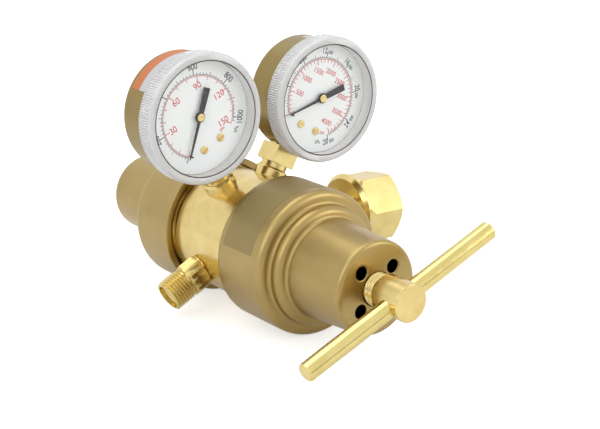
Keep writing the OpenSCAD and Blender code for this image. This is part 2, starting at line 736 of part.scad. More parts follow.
module nozzle() color(dark_brass) difference() {
    rotate_extrude() {
        band(0, nozzle_flange_d / 2, chamber_floor, chamber_floor + nozzle_flange_t);
        band(0, pocket_d / 2 - seat_gap, chamber_floor - nozzle_length, chamber_floor + eps);
        polygon([[0, lip_z], [lip_d / 2 - 0.6, lip_z], [lip_d / 2, lip_z + lip_height],
            [lip_d / 2, lip_z + lip_height + eps], [0, lip_z + lip_height + eps]]);
    }
    translate([0, 0, lip_z - 1]) cylinder(d = nozzle_bore_d, h = nozzle_length + 5);
    translate([0, 0, chamber_floor + nozzle_flange_t]) for (a = [0, 90]) rotate(a)
        cube([nozzle_flange_d + 2, 1.6, 1.6], center = true);
}

module valve() color(steel) rotate_extrude() {
    band(0, valve_stem_d / 2, head_face - eps, -clamp_nut_t);
    band(0, valve_head_d / 2, head_back, head_face);
    polygon([[0, head_back - valve_spigot], [valve_spring_d / 2 - valve_wire_d - 0.7,
        head_back - valve_spigot], [valve_spring_d / 2 - valve_wire_d / 2 - 0.15,
        head_back + eps], [0, head_back + eps]]);
}

module soft_seat() color(rubber) rotate_extrude()
    band(valve_stem_d / 2 + seat_gap, valve_head_d / 2 - 0.3, head_face, seat_face);

module valve_spring() color(steel) coil(valve_spring_d / 2, valve_wire_d, valve_turns,
    head_back - pocket_floor, pocket_floor, 14, 6);

module second_stage_nozzle() at_front() nozzle();
module first_stage_nozzle() at_rear() nozzle();
module second_stage_valve() at_front() valve();
module first_stage_valve() at_rear() valve();
module second_stage_soft_seat() at_front() soft_seat();
module first_stage_soft_seat() at_rear() soft_seat();
module second_stage_spring() at_front() valve_spring();
module first_stage_spring() at_rear() valve_spring();

// Inlet

module inlet_nipple() color(bright_brass) at_port(inlet_angle) difference() {
    foot = inlet_boss_top - inlet_thread_depth;
    hex_end = inlet_boss_top + nipple_hex_length;
    collar = collar_reach + shoulder_gap;
    union() {
        chamfered(inlet_thread_d / 2, foot, inlet_boss_top + eps, 1, 0);
        hex_length(nipple_hex, inlet_boss_top, hex_end, nipple_hex / 2 - 0.2, 1,
            nipple_hex / 2 - 0.2, 1, 0);
        rotate_extrude() difference() {
            union() {
                band(0, shank_d / 2, hex_end - eps, collar + eps);
                round_band(0, nipple_collar_d / 2, collar, collar + nipple_collar_t, 0.8);
                band(0, nose_d / 2, collar, nose_reach);
                intersection() {
                    translate([0, nose_reach]) circle(nose_d / 2);
                    band(0, nose_d / 2, nose_reach - eps, nose_reach + nose_tip);
                }
            }
            band(-50, 0, 0, 100);
        }
    }
    translate([0, 0, foot - 1]) cylinder(d = nipple_bore_d, h = nose_reach);
    translate([0, 0, foot - 1]) cylinder(d = filter_d + 2 * seat_gap, h = filter_length + 1.5);
}

module inlet_filter() color(bronze) at_port(inlet_angle) difference() {
    foot = inlet_boss_top - inlet_thread_depth + 0.5;
    translate([0, 0, foot]) cylinder(d = filter_d, h = filter_length);
    translate([0, 0, foot - 1]) cylinder(d = filter_d - 4, h = filter_length - 1);
}

module inlet_nut() color(bright_brass) at_port(inlet_angle) difference() {
    hex_start = nut_back + nut_collar_length;
    front = nut_back + nut_length;
    corner = hex_r(nut_hex);
    union() {
        hex_length(nut_hex, hex_start - eps, front, nut_hex / 2 + 0.4, 3.6, corner - 2.2,
            nut_chamfer, 23.75);
        rotate_extrude() {
            q = nut_collar_length - 0.6;
            rc = nut_collar_d / 2;
            polygon([[0, nut_back], [rc - q, nut_back], [rc, nut_back + q],
                [rc, hex_start], [0, hex_start]]);
        }
    }
    translate([0, 0, nut_back - 1]) cylinder(d = shank_d + 2 * running_gap, h = nut_length);
    translate([0, 0, collar_reach]) cylinder(d = nut_thread_d, h = nut_length);
    rotate_extrude() polygon([[nut_thread_d / 2 - eps, front - 1.2],
        [nut_thread_d / 2 + 1.2, front + eps], [nut_thread_d / 2 - eps, front + eps]]);
}

// Outlet

module outlet_fitting() color(dark_brass) at_port(outlet_angle) difference() {
    foot = outlet_boss_top - port_thread_depth;
    hex_end = outlet_boss_top + outlet_hex_length;
    thread_start = hex_end + outlet_relief;
    mouth = thread_start + outlet_thread_length;
    union() {
        chamfered(port_thread_d / 2, foot, outlet_boss_top + eps, 1, 0);
        hex_length(outlet_hex, outlet_boss_top, hex_end, outlet_hex / 2 + 0.2, 0.6,
            outlet_hex / 2 + 0.2, 0.6, 6.7);
        translate([0, 0, hex_end - eps]) cylinder(r = outlet_thread_d / 2 - 0.9,
            h = outlet_relief + 2 * eps);
        chamfered(outlet_thread_d / 2, thread_start, mouth, 0.7, 0.7);
    }
    translate([0, 0, foot - 1]) cylinder(d = outlet_bore_d, h = mouth);
    cone_end = mouth - outlet_mouth_depth;
    cone_start = cone_end - (outlet_mouth_d - outlet_bore_d) / 2;
    rotate_extrude() polygon([[0, cone_start], [outlet_bore_d / 2, cone_start],
        [outlet_mouth_d / 2, cone_end], [outlet_mouth_d / 2, mouth + 1], [0, mouth + 1]]);
}

// Gauge shells

module gauge_case() color(satin_gold) difference() {
    turned() difference() {
        round_band(0, case_d / 2, -case_front, case_back, case_round);
        round_band(-50, case_d / 2 - case_wall, -case_front - 1, case_back - case_wall,
            case_round - case_wall / 2);
        band(-60, 0, -50, 50);
    }
    translate([0, 0, -case_d / 2 - 2]) cylinder(d = neck_d + 2 * seat_gap, h = 6);
}

module gauge_lens() color(clear) {
    rim_back = window_front - lens_rim_length;
    inner = case_d / 2 + 0.2;
    turned() difference() {
        round_front = 1.2;
        union() {
            band(0, lens_d / 2 - rib_depth, -window_front + round_front, -rim_back);
            band(0, lens_d / 2 - rib_depth - round_front, -window_front, -rim_back);
            translate([lens_d / 2 - rib_depth - round_front, -window_front + round_front])
                circle(round_front);
        }
        band(-50, inner, -case_front - 0.2, 0);
        band(-50, dial_d / 2 + 0.2, -window_front + window_t, 0);
        band(-50, 0, -50, 50);
    }
    translate([0, -rim_back, 0]) rotate([90, 0, 0]) linear_extrude(lens_rim_length - 1.4)
        difference() {
            circle(lens_d / 2);
            circle(lens_d / 2 - rib_depth - 0.3);
            for (k = [0:rib_count - 1]) rotate(k * 360 / rib_count)
                translate([lens_d / 2 + 0.1, 0]) circle(rib_depth + 0.1, $fn = 16);
        }
}

module low_gauge_case() at_gauge(-1) gauge_case();
module high_gauge_case() at_gauge(1) gauge_case();
module low_lens() at_gauge(-1) gauge_lens();
module high_lens() at_gauge(1) gauge_lens();

// Gauge socket and Bourdon tube

// The tube's flattened section, standing at its mean radius
module tube_section(t, w) {
    translate([tube_radius - t / 2, -w / 2 + t / 2]) square([t, w - t]);
    for (s = [-1, 1]) translate([tube_radius, s * (w - t) / 2]) circle(t / 2);
}

// The section swept clockwise about the gauge's axis from its foot in the head
module tube_sweep(t, w, arc) translate([0, -tube_y, 0]) rotate([90, 0, 0])
    rotate(tube_start - arc) rotate_extrude(angle = arc) tube_section(t, w);

module gauge_socket() color(bright_brass) difference() {
    thread_foot = gauge_thread_foot - gauge_height;
    foot = block_foot - gauge_height;
    shell = case_d / 2;
    head_bottom = shell - 2.3;
    union() {
        chamfered(port_thread_d / 2, thread_foot, foot + eps, 0.8, 0);
        translate([-block_w / 2, -block_w / 2, foot])
            cube([block_w, block_w, -foot - shell - 0.1]);
        translate([0, 0, -shell - 0.2]) cylinder(d = neck_d, h = 3);
        translate([-head_w / 2, -dial_back + frame_t, -head_bottom])
            cube([head_w, dial_back - frame_t - head_back_y, head_bottom - head_top]);
    }
    translate([0, 0, thread_foot - 1]) cylinder(d = 2.4, h = -thread_foot - tube_radius + 2);
    tube_sweep(tube_t + 2 * seat_gap, tube_w + 2 * seat_gap, 60);
    for (s = [-1, 1]) translate([s * dial_screw_x, -dial_back - 1, -dial_screw_drop])
        rotate([-90, 0, 0]) cylinder(d = 1.8 + 2 * seat_gap, h = 6);
}

module bourdon_tube() color(bronze) difference() {
    union() {
        tube_sweep(tube_t, tube_w, tube_arc);
        rotate([0, -tip_angle, 0])
            translate([tube_radius - tip_block_inset, -tube_y - tip_block_w / 2, -tip_block_lap])
            cube([tip_block_length, tip_block_w, tip_block_t]);
        sheet(sector_y + sector_t, sector_t) difference() {
            lug = ring_point(tip_angle, tube_radius - 1);
            polygon([[tip_x - lug_r, tip_z], [tip_x, tip_z - lug_r],
                [tip_x + lug_r, tip_z - lug_slant], [lug[0] + lug_r, lug[1] + lug_rise],
                [lug[0] - lug_back, lug[1] + lug_rise]]);
            translate([tip_x, tip_z]) circle(lug_hole_r, $fn = 24);
        }
    }
    inner_t = tube_t - 2 * tube_wall;
    tube_sweep(inner_t, tube_w - 2 * tube_wall, tube_arc - tube_plug_arc);
}

module low_gauge_socket() at_gauge(-1) gauge_socket();
module high_gauge_socket() at_gauge(1) gauge_socket();
module low_bourdon_tube() at_gauge(-1) bourdon_tube();
module high_bourdon_tube() at_gauge(1) bourdon_tube();

// Gauge movement

pillar_d = 2.2;
frame_left = 8.7;
frame_right = 13.3;
frame_top = 6;
frame_waist = 7.4;
pillars = [[2.2 - frame_left, frame_top - 1.5], [1.5 - frame_left, 1.4 - frame_waist],
    [frame_right - 1.5, frame_top - 3.4]];

// One movement plate, with holes for the two arbors
module frame_plate(foot) difference() {
    union() {
        polygon([[edge - frame_left, frame_top], [-frame_left, -frame_waist], [-head_w / 2, foot],
            [head_w / 2, foot], [frame_right, -frame_waist], [frame_right, frame_top - 2],
            [collet_r, frame_top]]);
        for (p = pillars) translate(p) circle(pillar_d / 2 + edge);
    }
    circle(arbor_d / 2 + running_gap, $fn = 32);
    translate([pivot_x, pivot_z]) circle(sector_arbor_d / 2 + running_gap, $fn = 32);
    if (foot < -head_top) for (s = [-1, 1])
        translate([s * dial_screw_x, -dial_screw_drop]) circle(0.9 + seat_gap, $fn = 32);
}

module movement_frame() color(bright_brass) {
    sheet(dial_back, frame_t) frame_plate(-dial_screw_drop - frame_foot);
    sheet(back_plate_y, frame_t) frame_plate(-head_top + frame_lap);
    for (p = pillars) translate([p[0], eps - back_plate_y, p[1]]) rotate([90, 0, 0])
        cylinder(d = pillar_d, h = dial_back - frame_t - back_plate_y + 2 * eps);
}

// One gear tooth about the origin, standing on the X axis
module tooth(pitch_r) {
    p = PI * tooth_module;
    tip = pitch_r + 0.9 * tooth_module;
    root = pitch_r - 1.15 * tooth_module;
    polygon([[root - 0.15, -0.28 * p], [pitch_r, -0.215 * p], [tip, -0.12 * p],
        [tip, 0.12 * p], [pitch_r, 0.215 * p], [root - 0.15, 0.28 * p]]);
}

// The fan of the sector, with teeth that reach from the mesh back through its swing
module sector_gear() color(bright_brass) {
    root = sector_r - 1.15 * tooth_module;
    pitch_angle = 360 / sector_teeth;
    reach = sector_cut - 2;
    a0 = mesh_angle - (reach + 0.5) * pitch_angle;
    a1 = mesh_angle + 1.5 * pitch_angle;
    sheet(sector_y + sector_t, sector_t) difference() {
        translate([pivot_x, pivot_z]) {
            difference() {
                circle(root);
                polygon([[0, 0], for (k = [0:8]) ring_point(a1 + k * (a0 + 360 - a1) / 8, 30)]);
                circle(root - 1.8);
            }
            for (a = [a0 + 6, a1 - 6]) rotate(a) translate([0, -0.8]) square([root - 1, 1.6]);
            circle(1.8);
            for (k = [-reach:1]) rotate(mesh_angle + k * pitch_angle) tooth(sector_r);
            rotate(tail_angle) translate([0, -1]) square([tail_length, 2]);
            rotate(tail_angle) translate([tail_length, 0]) circle(1.1, $fn = 32);
        }
        translate([tail_x, tail_z]) circle(0.45 + running_gap, $fn = 24);
    }
    span = dial_back - back_plate_y + frame_t;
    translate([pivot_x, -back_plate_y + frame_t, pivot_z]) rotate([90, 0, 0])
        cylinder(d = sector_arbor_d, h = span - 0.2, $fn = 32);
}

module pinion() color(steel) {
    pitch_angle = 360 / pinion_teeth;
    sheet(sector_y + sector_t + 0.4, sector_t + 0.8) {
        circle(pinion_r - 1.15 * tooth_module, $fn = 32);
        for (k = [0:pinion_teeth - 1]) rotate(mesh_angle - 180 + (k + 0.5) * pitch_angle)
            tooth(pinion_r);
    }
    top = dial_front + 1.4;
    translate([0, -back_plate_y + frame_t, 0]) rotate([90, 0, 0])
        cylinder(d = arbor_d, h = top - back_plate_y + frame_t, $fn = 32);
    sheet(back_plate_y + 2, 0.9) circle(1.2, $fn = 32);
}

// A flat spiral strip from the arbor's collet to a stud on the back plate
module hairspring() color(steel) {
    count = hair_turns * 20;
    sheet(back_plate_y + 1.9, 0.7) polygon([
        for (i = [0:count]) ring_point(i * 18, hair_r(i / count) + hair_t),
        for (i = [count:-1:0]) ring_point(i * 18, hair_r(i / count))]);
}

// The bar from the sector's tail to the tube's tip
module link() color(steel) {
    sheet(link_y + sector_t, sector_t) {
        dx = tip_x - tail_x;
        dz = tip_z - tail_z;
        translate([tail_x, tail_z]) rotate(atan2(dz, dx)) translate([0, -0.6])
            square([norm([dx, dz]), 1.2]);
        for (p = [[tail_x, tail_z], [tip_x, tip_z]]) translate(p) circle(1, $fn = 32);
    }
    for (p = [[tail_x, tail_z, 0.45], [tip_x, tip_z, 0.35]])
        translate([p[0], -sector_y, p[1]]) rotate([90, 0, 0])
            cylinder(r = p[2], h = link_y - sector_y + sector_t / 2, $fn = 24);
}

// Dial and pointer

module dial() color(dial_white) {
    sheet(dial_front, dial_t) difference() {
        circle(dial_d / 2);
        circle(arbor_d / 2 + 0.5, $fn = 32);
        for (s = [-1, 1]) translate([s * dial_screw_x, -dial_screw_drop])
            circle(0.9 + seat_gap, $fn = 32);
    }
    // The stop pin stands beside the needle's flank at zero
    flank = needle_half + (needle_root - needle_half) * (1 - stop_radius / needle_end);
    stop_angle = zero_angle + asin((flank + stop_d / 2 + stop_gap) / stop_radius);
    stop_end = pointer_front + 0.3;
    sheet(stop_end, stop_end - dial_front + eps) translate(ring_point(stop_angle, stop_radius))
        circle(stop_d / 2, $fn = 24);
}

module dial_screws() color(bright_brass) for (s = [-1, 1])
    translate([s * dial_screw_x, -dial_front, -dial_screw_drop]) rotate([90, 0, 0])
        difference() {
            rotate_extrude($fn = 48) difference() {
                union() {
                    round_band(0, 1.7, 0, 0.8, 0.4);
                    band(0, 0.9, -4.5, eps);
                }
                band(-5, 0, -10, 10);
            }
            translate([-2, -0.2, 0.45]) cube([4, 0.4, 1]);
        }

module pointer() color(needle_black) {
    front = pointer_front;
    sheet(front, pointer_t) difference() {
        rotate(zero_angle) union() {
            polygon([[0, -needle_root], [needle_end, -needle_half], [pointer_length, 0],
                [needle_end, needle_half], [0, needle_root]]);
            polygon([[0, -0.9], [0, 0.9], [-4, 1.3], [-pointer_tail, 1.5],
                [-pointer_tail, -1.5], [-4, -1.3]]);
            circle(pointer_hub_d / 2, $fn = 48);
        }
        circle(arbor_d / 2, $fn = 32);
    }
    sheet(front + 0.5, 0.5 + eps) circle(pointer_cap_d / 2, $fn = 48);
    sheet(front - pointer_t + eps, 1) difference() {
        circle(collet_r, $fn = 48);
        circle(arbor_d / 2, $fn = 32);
    }
}

module low_movement_frame() at_gauge(-1) movement_frame();
module high_movement_frame() at_gauge(1) movement_frame();
module low_sector_gear() at_gauge(-1) sector_gear();
module high_sector_gear() at_gauge(1) sector_gear();
module low_pinion() at_gauge(-1) pinion();
module high_pinion() at_gauge(1) pinion();
module low_hairspring() at_gauge(-1) hairspring();
module high_hairspring() at_gauge(1) hairspring();
module low_link() at_gauge(-1) link();
module high_link() at_gauge(1) link();
module low_dial() at_gauge(-1) dial();
module high_dial() at_gauge(1) dial();
module low_dial_screws() at_gauge(-1) dial_screws();
module high_dial_screws() at_gauge(1) dial_screws();
module low_pointer() at_gauge(-1) pointer();
module high_pointer() at_gauge(1) pointer();

regulator_body();
passage_plug();
front_bonnet();
rear_bonnet();
front_diaphragm();
rear_diaphragm();
front_slip_ring();
rear_slip_ring();
front_diaphragm_plate();
rear_diaphragm_plate();
front_clamp_nut();
rear_clamp_nut();
adjusting_spring();
spring_button();
adjusting_screw();
tee_bar();
second_stage_nozzle();
second_stage_valve();
second_stage_soft_seat();
second_stage_spring();
first_stage_nozzle();
first_stage_valve();
first_stage_soft_seat();
first_stage_spring();
preset_spring();
preset_button();
preset_screw();
inlet_nipple();
inlet_nut();
inlet_filter();
outlet_fitting();
low_gauge_case();
low_gauge_socket();
low_bourdon_tube();
low_movement_frame();
low_sector_gear();
low_pinion();
low_hairspring();
low_link();
low_dial();
low_dial_screws();
low_pointer();
low_lens();
high_gauge_case();
high_gauge_socket();
high_bourdon_tube();
high_movement_frame();
high_sector_gear();
high_pinion();
high_hairspring();
high_link();
high_dial();
high_dial_screws();
high_pointer();
high_lens();
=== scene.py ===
"""Looks of a two-stage gas regulator: finishes, printed dials, lenses, threads and the studio."""

import json
import logging
import math
from dataclasses import dataclass, field
from enum import Enum
from typing import Callable, Iterable, Sequence

import bmesh
import bpy
from bpy.types import ID, Material, Mesh, Node, NodeSocket as Socket, NodeTree, Object
from bpy.types import bpy_prop_collection
from mathutils import Matrix, Vector

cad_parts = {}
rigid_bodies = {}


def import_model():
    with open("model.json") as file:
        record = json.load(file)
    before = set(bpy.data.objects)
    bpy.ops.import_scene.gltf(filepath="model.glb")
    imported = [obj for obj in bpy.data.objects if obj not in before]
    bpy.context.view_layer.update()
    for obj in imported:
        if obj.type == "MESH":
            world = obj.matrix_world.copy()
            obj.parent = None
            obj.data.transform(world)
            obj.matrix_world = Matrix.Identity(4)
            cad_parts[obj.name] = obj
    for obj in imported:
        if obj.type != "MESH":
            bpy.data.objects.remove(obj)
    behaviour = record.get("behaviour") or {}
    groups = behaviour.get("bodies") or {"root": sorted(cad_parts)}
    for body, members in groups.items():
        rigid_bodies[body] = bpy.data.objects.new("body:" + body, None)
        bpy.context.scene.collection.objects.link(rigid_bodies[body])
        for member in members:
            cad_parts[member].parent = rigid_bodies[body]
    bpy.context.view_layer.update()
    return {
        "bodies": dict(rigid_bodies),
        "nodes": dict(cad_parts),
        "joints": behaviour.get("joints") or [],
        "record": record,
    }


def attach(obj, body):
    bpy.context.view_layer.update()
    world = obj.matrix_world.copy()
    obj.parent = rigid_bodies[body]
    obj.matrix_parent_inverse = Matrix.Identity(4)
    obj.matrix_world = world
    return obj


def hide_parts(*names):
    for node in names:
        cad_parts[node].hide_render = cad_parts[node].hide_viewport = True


# A millimetre in metres
MM = 0.001
# Where the axis of the body and the bonnets stands along X, in millimetres
BODY_X = -72.5
# The radius of a closed end's tip, in millimetres
AXIS = 0.001
# The height of the built-in font's capitals, over its size
CAPITAL = 0.7
# The air under a band that lies on a cylinder, in millimetres
BAND_GAP = 0.01
# Turns Z to the front and Y up
FACING = Matrix.Rotation(math.radians(90), 4, "X")
LOG = logging.getLogger("regulator")

Point = tuple[float, float, float]
Colour = tuple[float, float, float]
Range = tuple[float, float]
Face = tuple[int, ...]
Profile = Sequence[Range]

# Where nearly all of a noise's values lie
NOISE: Range = (0.3, 0.7)
WHITE = (1.0, 1.0, 1.0, 1.0)


class Nodes:
    """A node tree with short calls to add and join its nodes."""

    def __init__(self, tree: NodeTree) -> None:
        """Takes the tree."""
        self.tree = tree

    def add(self, kind: str, **sockets: object) -> Node:
        """Adds a node and sets its properties or input sockets.

        Args:
            kind: the node's type.
            sockets: values by property or socket name, with an underscore for a space.

        Returns:
            The node.
        """
        node = self.tree.nodes.new(kind)
        for key, value in sockets.items():
            if hasattr(node, key):
                setattr(node, key, value)
            else:
                node.inputs[key.replace("_", " ")].default_value = value
        return node

    def join(self, source: Socket, target: Socket) -> None:
        """Joins an output socket to an input socket."""
        self.tree.links.new(source, target)

    def between(self, value: Socket, span: Range, result: Range = (0.0, 1.0),
                curve: str = "LINEAR") -> Socket:
        """Maps a range of values to another range, clamped.

        Args:
            value: the socket with the values.
            span: its first and last value that count.
            result: what these two become.
            curve: how the values between them run.

        Returns:
            The mapped socket.
        """
        node = self.add("ShaderNodeMapRange", interpolation_type=curve, From_Min=span[0],
                        From_Max=span[1], To_Min=result[0], To_Max=result[1])
        self.join(value, node.inputs["Value"])
        return node.outputs["Result"]

    def sum(self, operation: str, first: Socket, second: Socket | float) -> Socket:
        """Does arithmetic on one or two sockets.

        Args:
            operation: as the Math node names it.
            first: a socket.
            second: a socket or a number.

        Returns:
            The socket with the result.
        """
        node = self.add("ShaderNodeMath", operation=operation)
        self.join(first, node.inputs[0])
        if isinstance(second, float):
            node.inputs[1].default_value = second
        else:
            self.join(second, node.inputs[1])
        return node.outputs[0]

    def by_ray(self, rays: bpy_prop_collection, lit: Socket, seen: Socket) -> Socket:
        """Mixes a shader for the light that it gives with another for how it looks.

        Args:
            rays: the outputs of a light path node.
            lit: the shader for diffuse rays.
            seen: the shader for rays from the camera, by gloss or through clear plastic.

        Returns:
            The mixed shader.
        """
        shiny = self.sum("MAXIMUM", rays["Is Glossy Ray"], rays["Is Transmission Ray"])
        mix = self.add("ShaderNodeMixShader")
        self.join(self.sum("MAXIMUM", rays["Is Camera Ray"], shiny), mix.inputs["Fac"])
        self.join(lit, mix.inputs[1])
        self.join(seen, mix.inputs[2])
        return mix.outputs[0]


class NodeSheet(Nodes):
    """A material with short calls for its colour, grain and bumps."""

    def __init__(self, name: str) -> None:
        """Makes the material.

        Args:
            name: what the material is called.
        """
        self.material = bpy.data.materials.new(name)
        self.material.use_nodes = True
        super().__init__(self.material.node_tree)
        self.shader = self.tree.nodes["Principled BSDF"]

    def set(self, **sockets: object) -> None:
        """Sets the shader's own sockets, with an underscore for a space in a name."""
        for key, value in sockets.items():
            self.shader.inputs[key.replace("_", " ")].default_value = value

    def paint(self, colour: Socket, rough: Socket) -> None:
        """Leads a colour and a roughness to the shader."""
        self.join(colour, self.shader.inputs["Base Color"])
        self.join(rough, self.shader.inputs["Roughness"])

    def place(self, scale: Point = (1.0, 1.0, 1.0)) -> Socket:
        """Gives the surface point in the row frame, in millimetres times a scale.

        Args:
            scale: stretch along X, Y and Z, for grain that runs one way.

        Returns:
            The socket that carries the point.
        """
        where = self.add("ShaderNodeTexCoord")
        stretch = self.add("ShaderNodeMapping", vector_type="POINT")
        stretch.inputs["Scale"].default_value = [value / MM for value in scale]
        self.join(where.outputs["Object"], stretch.inputs["Vector"])
        return stretch.outputs["Vector"]

    def noise(self, where: Socket, scale: float, detail: float = 3.0, rough: float = 0.55) -> Socket:
        """Adds noise.

        Args:
            where: the point it is read at.
            scale: lumps per millimetre.
            detail: octaves.
            rough: how strong the fine octaves are.

        Returns:
            The socket with values from 0 to 1.
        """
        node = self.add("ShaderNodeTexNoise", Scale=scale, Detail=detail, Roughness=rough)
        self.join(where, node.inputs["Vector"])
        return node.outputs["Fac"]

    def blend(self, value: Socket, first: Colour, second: Colour) -> Socket:
        """Blends two colours by a value from 0 to 1.

        Args:
            value: the socket with the value.
            first: the colour at 0.
            second: the colour at 1.

        Returns:
            The colour socket.
        """
        ramp = self.add("ShaderNodeValToRGB")
        ramp.color_ramp.elements[0].color = (*first, 1.0)
        ramp.color_ramp.elements[1].color = (*second, 1.0)
        self.join(value, ramp.inputs["Fac"])
        return ramp.outputs["Color"]

    def choose(self, share: Socket, first: Socket, second: Colour) -> Socket:
        """Goes from a colour socket to a plain colour.

        Args:
            share: how far it goes, from 0 to 1.
            first: the colour socket.
            second: the plain colour.

        Returns:
            The colour socket.
        """
        node = self.add("ShaderNodeMix", data_type="RGBA")
        self.join(share, node.inputs["Factor"])
        self.join(first, node.inputs["A"])
        node.inputs["B"].default_value = (*second, 1.0)
        return node.outputs["Result"]

    def within(self, radius: float, low: float, high: float) -> Socket:
        """Masks what lies inside a cylinder about the body's axis.

        Args:
            radius: of the cylinder, in millimetres.
            low: its first end.
            high: its other end.

        Returns:
            The socket that is 1 inside and 0 outside.
        """
        split = self.add("ShaderNodeSeparateXYZ")
        self.join(self.place(), split.inputs[0])
        x, y, z = split.outputs
        across = self.sum("SUBTRACT", x, BODY_X)
        wide = self.sum("MULTIPLY", across, across)
        tall = self.sum("MULTIPLY", z, z)
        near = self.sum("LESS_THAN", self.sum("ADD", wide, tall), radius ** 2)
        behind = self.sum("GREATER_THAN", y, low)
        before = self.sum("LESS_THAN", y, high)
        return self.sum("MULTIPLY", near, self.sum("MULTIPLY", behind, before))

    def bump(self, height: Socket, depth: float, strength: float = 1.0, edge: float = 0.0) -> None:
        """Leads a height to the shader's normal.

        Args:
            height: values from 0 to 1.
            depth: what 1 stands for, in millimetres.
            strength: how much of the bump shows.
            edge: radius that softens sharp edges in the shading, in millimetres.
        """
        node = self.add("ShaderNodeBump", Strength=strength, Distance=depth * MM)
        self.join(height, node.inputs["Height"])
        if edge:
            soft = self.add("ShaderNodeBevel", samples=8, Radius=edge * MM)
            self.join(soft.outputs["Normal"], node.inputs["Normal"])
        self.join(node.outputs["Normal"], self.shader.inputs["Normal"])


@dataclass(frozen=True)
class SatinGold:
    """Bronze-gold plating with a fine matt flake, on the bonnets and the gauge cases.

    The hollow inside the bonnets and the walls of their holes are painted near black, as painted shade.
    """

    name: str = "gold_plating"
    shade: Colour = (0.40, 0.285, 0.10)
    light: Colour = (0.45, 0.325, 0.12)
    # Painted shade for the hollow inside the bonnets and the walls of their holes
    dark: Colour = (0.006, 0.005, 0.004)
    rough: Range = (0.29, 0.41)
    coat: float = 0.3
    coat_rough: float = 0.3
    soft: float = 1.6
    cloud: float = 0.06
    flake: float = 7.0
    flake_span: Range = (0.25, 0.75)
    flake_depth: float = 0.010
    hollow: float = 17.0
    front: float = -90.9
    rear: float = 84.0

    def material(self) -> Material:
        """Makes the material.

        Returns:
            The plating.
        """
        sheet = NodeSheet(self.name)
        where = sheet.place()
        cloud = sheet.noise(where, self.cloud, 2.0)
        flake = sheet.noise(where, self.flake, 2.0)
        gold = sheet.blend(sheet.between(cloud, NOISE), self.shade, self.light)
        # Painted shade: near black inside the bonnets' hollow, where little light reaches
        inside = sheet.within(self.hollow, self.front, self.rear)
        sheet.paint(sheet.choose(inside, gold, self.dark),
                    sheet.between(flake, self.flake_span, self.rough))
        sheet.set(Metallic=1.0, Coat_Weight=self.coat, Coat_Roughness=self.coat_rough)
        sheet.bump(flake, self.flake_depth, 0.4, self.soft)
        return sheet.material


@dataclass(frozen=True)
class MachinedBrass:
    """Bright brass with the fine lines of turning or milling, faint stains, softened edges and painted
    shadow in any grooves it is given.
    """

    name: str = "turned_brass"
    shade: Colour = (0.72, 0.545, 0.215)
    light: Colour = (0.82, 0.655, 0.285)
    rough: Range = (0.17, 0.28)
    grain: Point = (0.3, 9.0, 0.3)
    edge: float = 0.25
    # Spans along the axis that take painted shadow, near black, where grooves fall in shade
    grooves: Sequence[Range] = ()
    groove_radius: float = 26.7
    groove_shade: Colour = (0.075, 0.040, 0.014)
    stain: float = 0.12
    stain_span: Range = (0.32, 0.68)
    line: float = 1.6
    line_depth: float = 0.003
    pit: float = 0.5
    pit_span: Range = (0.3, 0.75)

    def material(self) -> Material:
        """Makes the material.

        Returns:
            The brass.
        """
        sheet = NodeSheet(self.name)
        stain = sheet.noise(sheet.place(), self.stain, 4.0)
        line = sheet.noise(sheet.place(self.grain), self.line, 2.0)
        pit = sheet.noise(sheet.place(), self.pit, 4.0, 0.6)
        colour = sheet.blend(sheet.between(stain, self.stain_span), self.shade, self.light)
        # Painted shadow: the grooves take a near-black colour in place of the brass
        for low, high in self.grooves:
            groove = sheet.within(self.groove_radius, low, high)
            colour = sheet.choose(groove, colour, self.groove_shade)
        sheet.paint(colour, sheet.between(pit, self.pit_span, self.rough))
        sheet.set(Metallic=1.0)
        sheet.bump(line, self.line_depth, 0.3, self.edge)
        return sheet.material


@dataclass(frozen=True)
class Plain:
    """A metal, rubber, paint, ink or film with a light grain."""

    name: str
    shade: Colour
    light: Colour
    rough: float = 0.3
    grain: float = 2.5
    depth: float = 0.01
    metal: float = 0.0
    smoother: float = 0.05
    rougher: float = 0.08

    def material(self) -> Material:
        """Makes the material.

        Returns:
            The surface's material.
        """
        sheet = NodeSheet(self.name)
        grain = sheet.noise(sheet.place(), self.grain, 3.0)
        rough = (self.rough - self.smoother, self.rough + self.rougher)
        sheet.paint(sheet.blend(sheet.between(grain, NOISE), self.shade, self.light),
                    sheet.between(grain, NOISE, rough))
        sheet.set(Metallic=self.metal)
        sheet.bump(grain, self.depth, 0.6)
        return sheet.material


@dataclass(frozen=True)
class ClearPlastic:
    """Clear or milky moulded plastic with faint scuffs."""

    name: str
    tint: Colour = (0.97, 0.98, 0.98)
    rough: float = 0.03
    transmission: float = 1.0
    alpha: float = 1.0
    index: float = 1.49
    scuff: float = 0.9
    scuff_span: Range = (0.45, 0.8)
    scuff_rough: float = 0.06
    scuff_shade: float = 0.985

    def material(self) -> Material:
        """Makes the material.

        Returns:
            The plastic.
        """
        sheet = NodeSheet(self.name)
        scuff = sheet.noise(sheet.place(), self.scuff, 4.0, 0.65)
        dull = tuple(self.scuff_shade * value for value in self.tint)
        rough = (self.rough, self.rough + self.scuff_rough)
        sheet.paint(sheet.blend(scuff, self.tint, dull), sheet.between(scuff, self.scuff_span, rough))
        sheet.set(IOR=self.index, Transmission_Weight=self.transmission, Alpha=self.alpha)
        return sheet.material


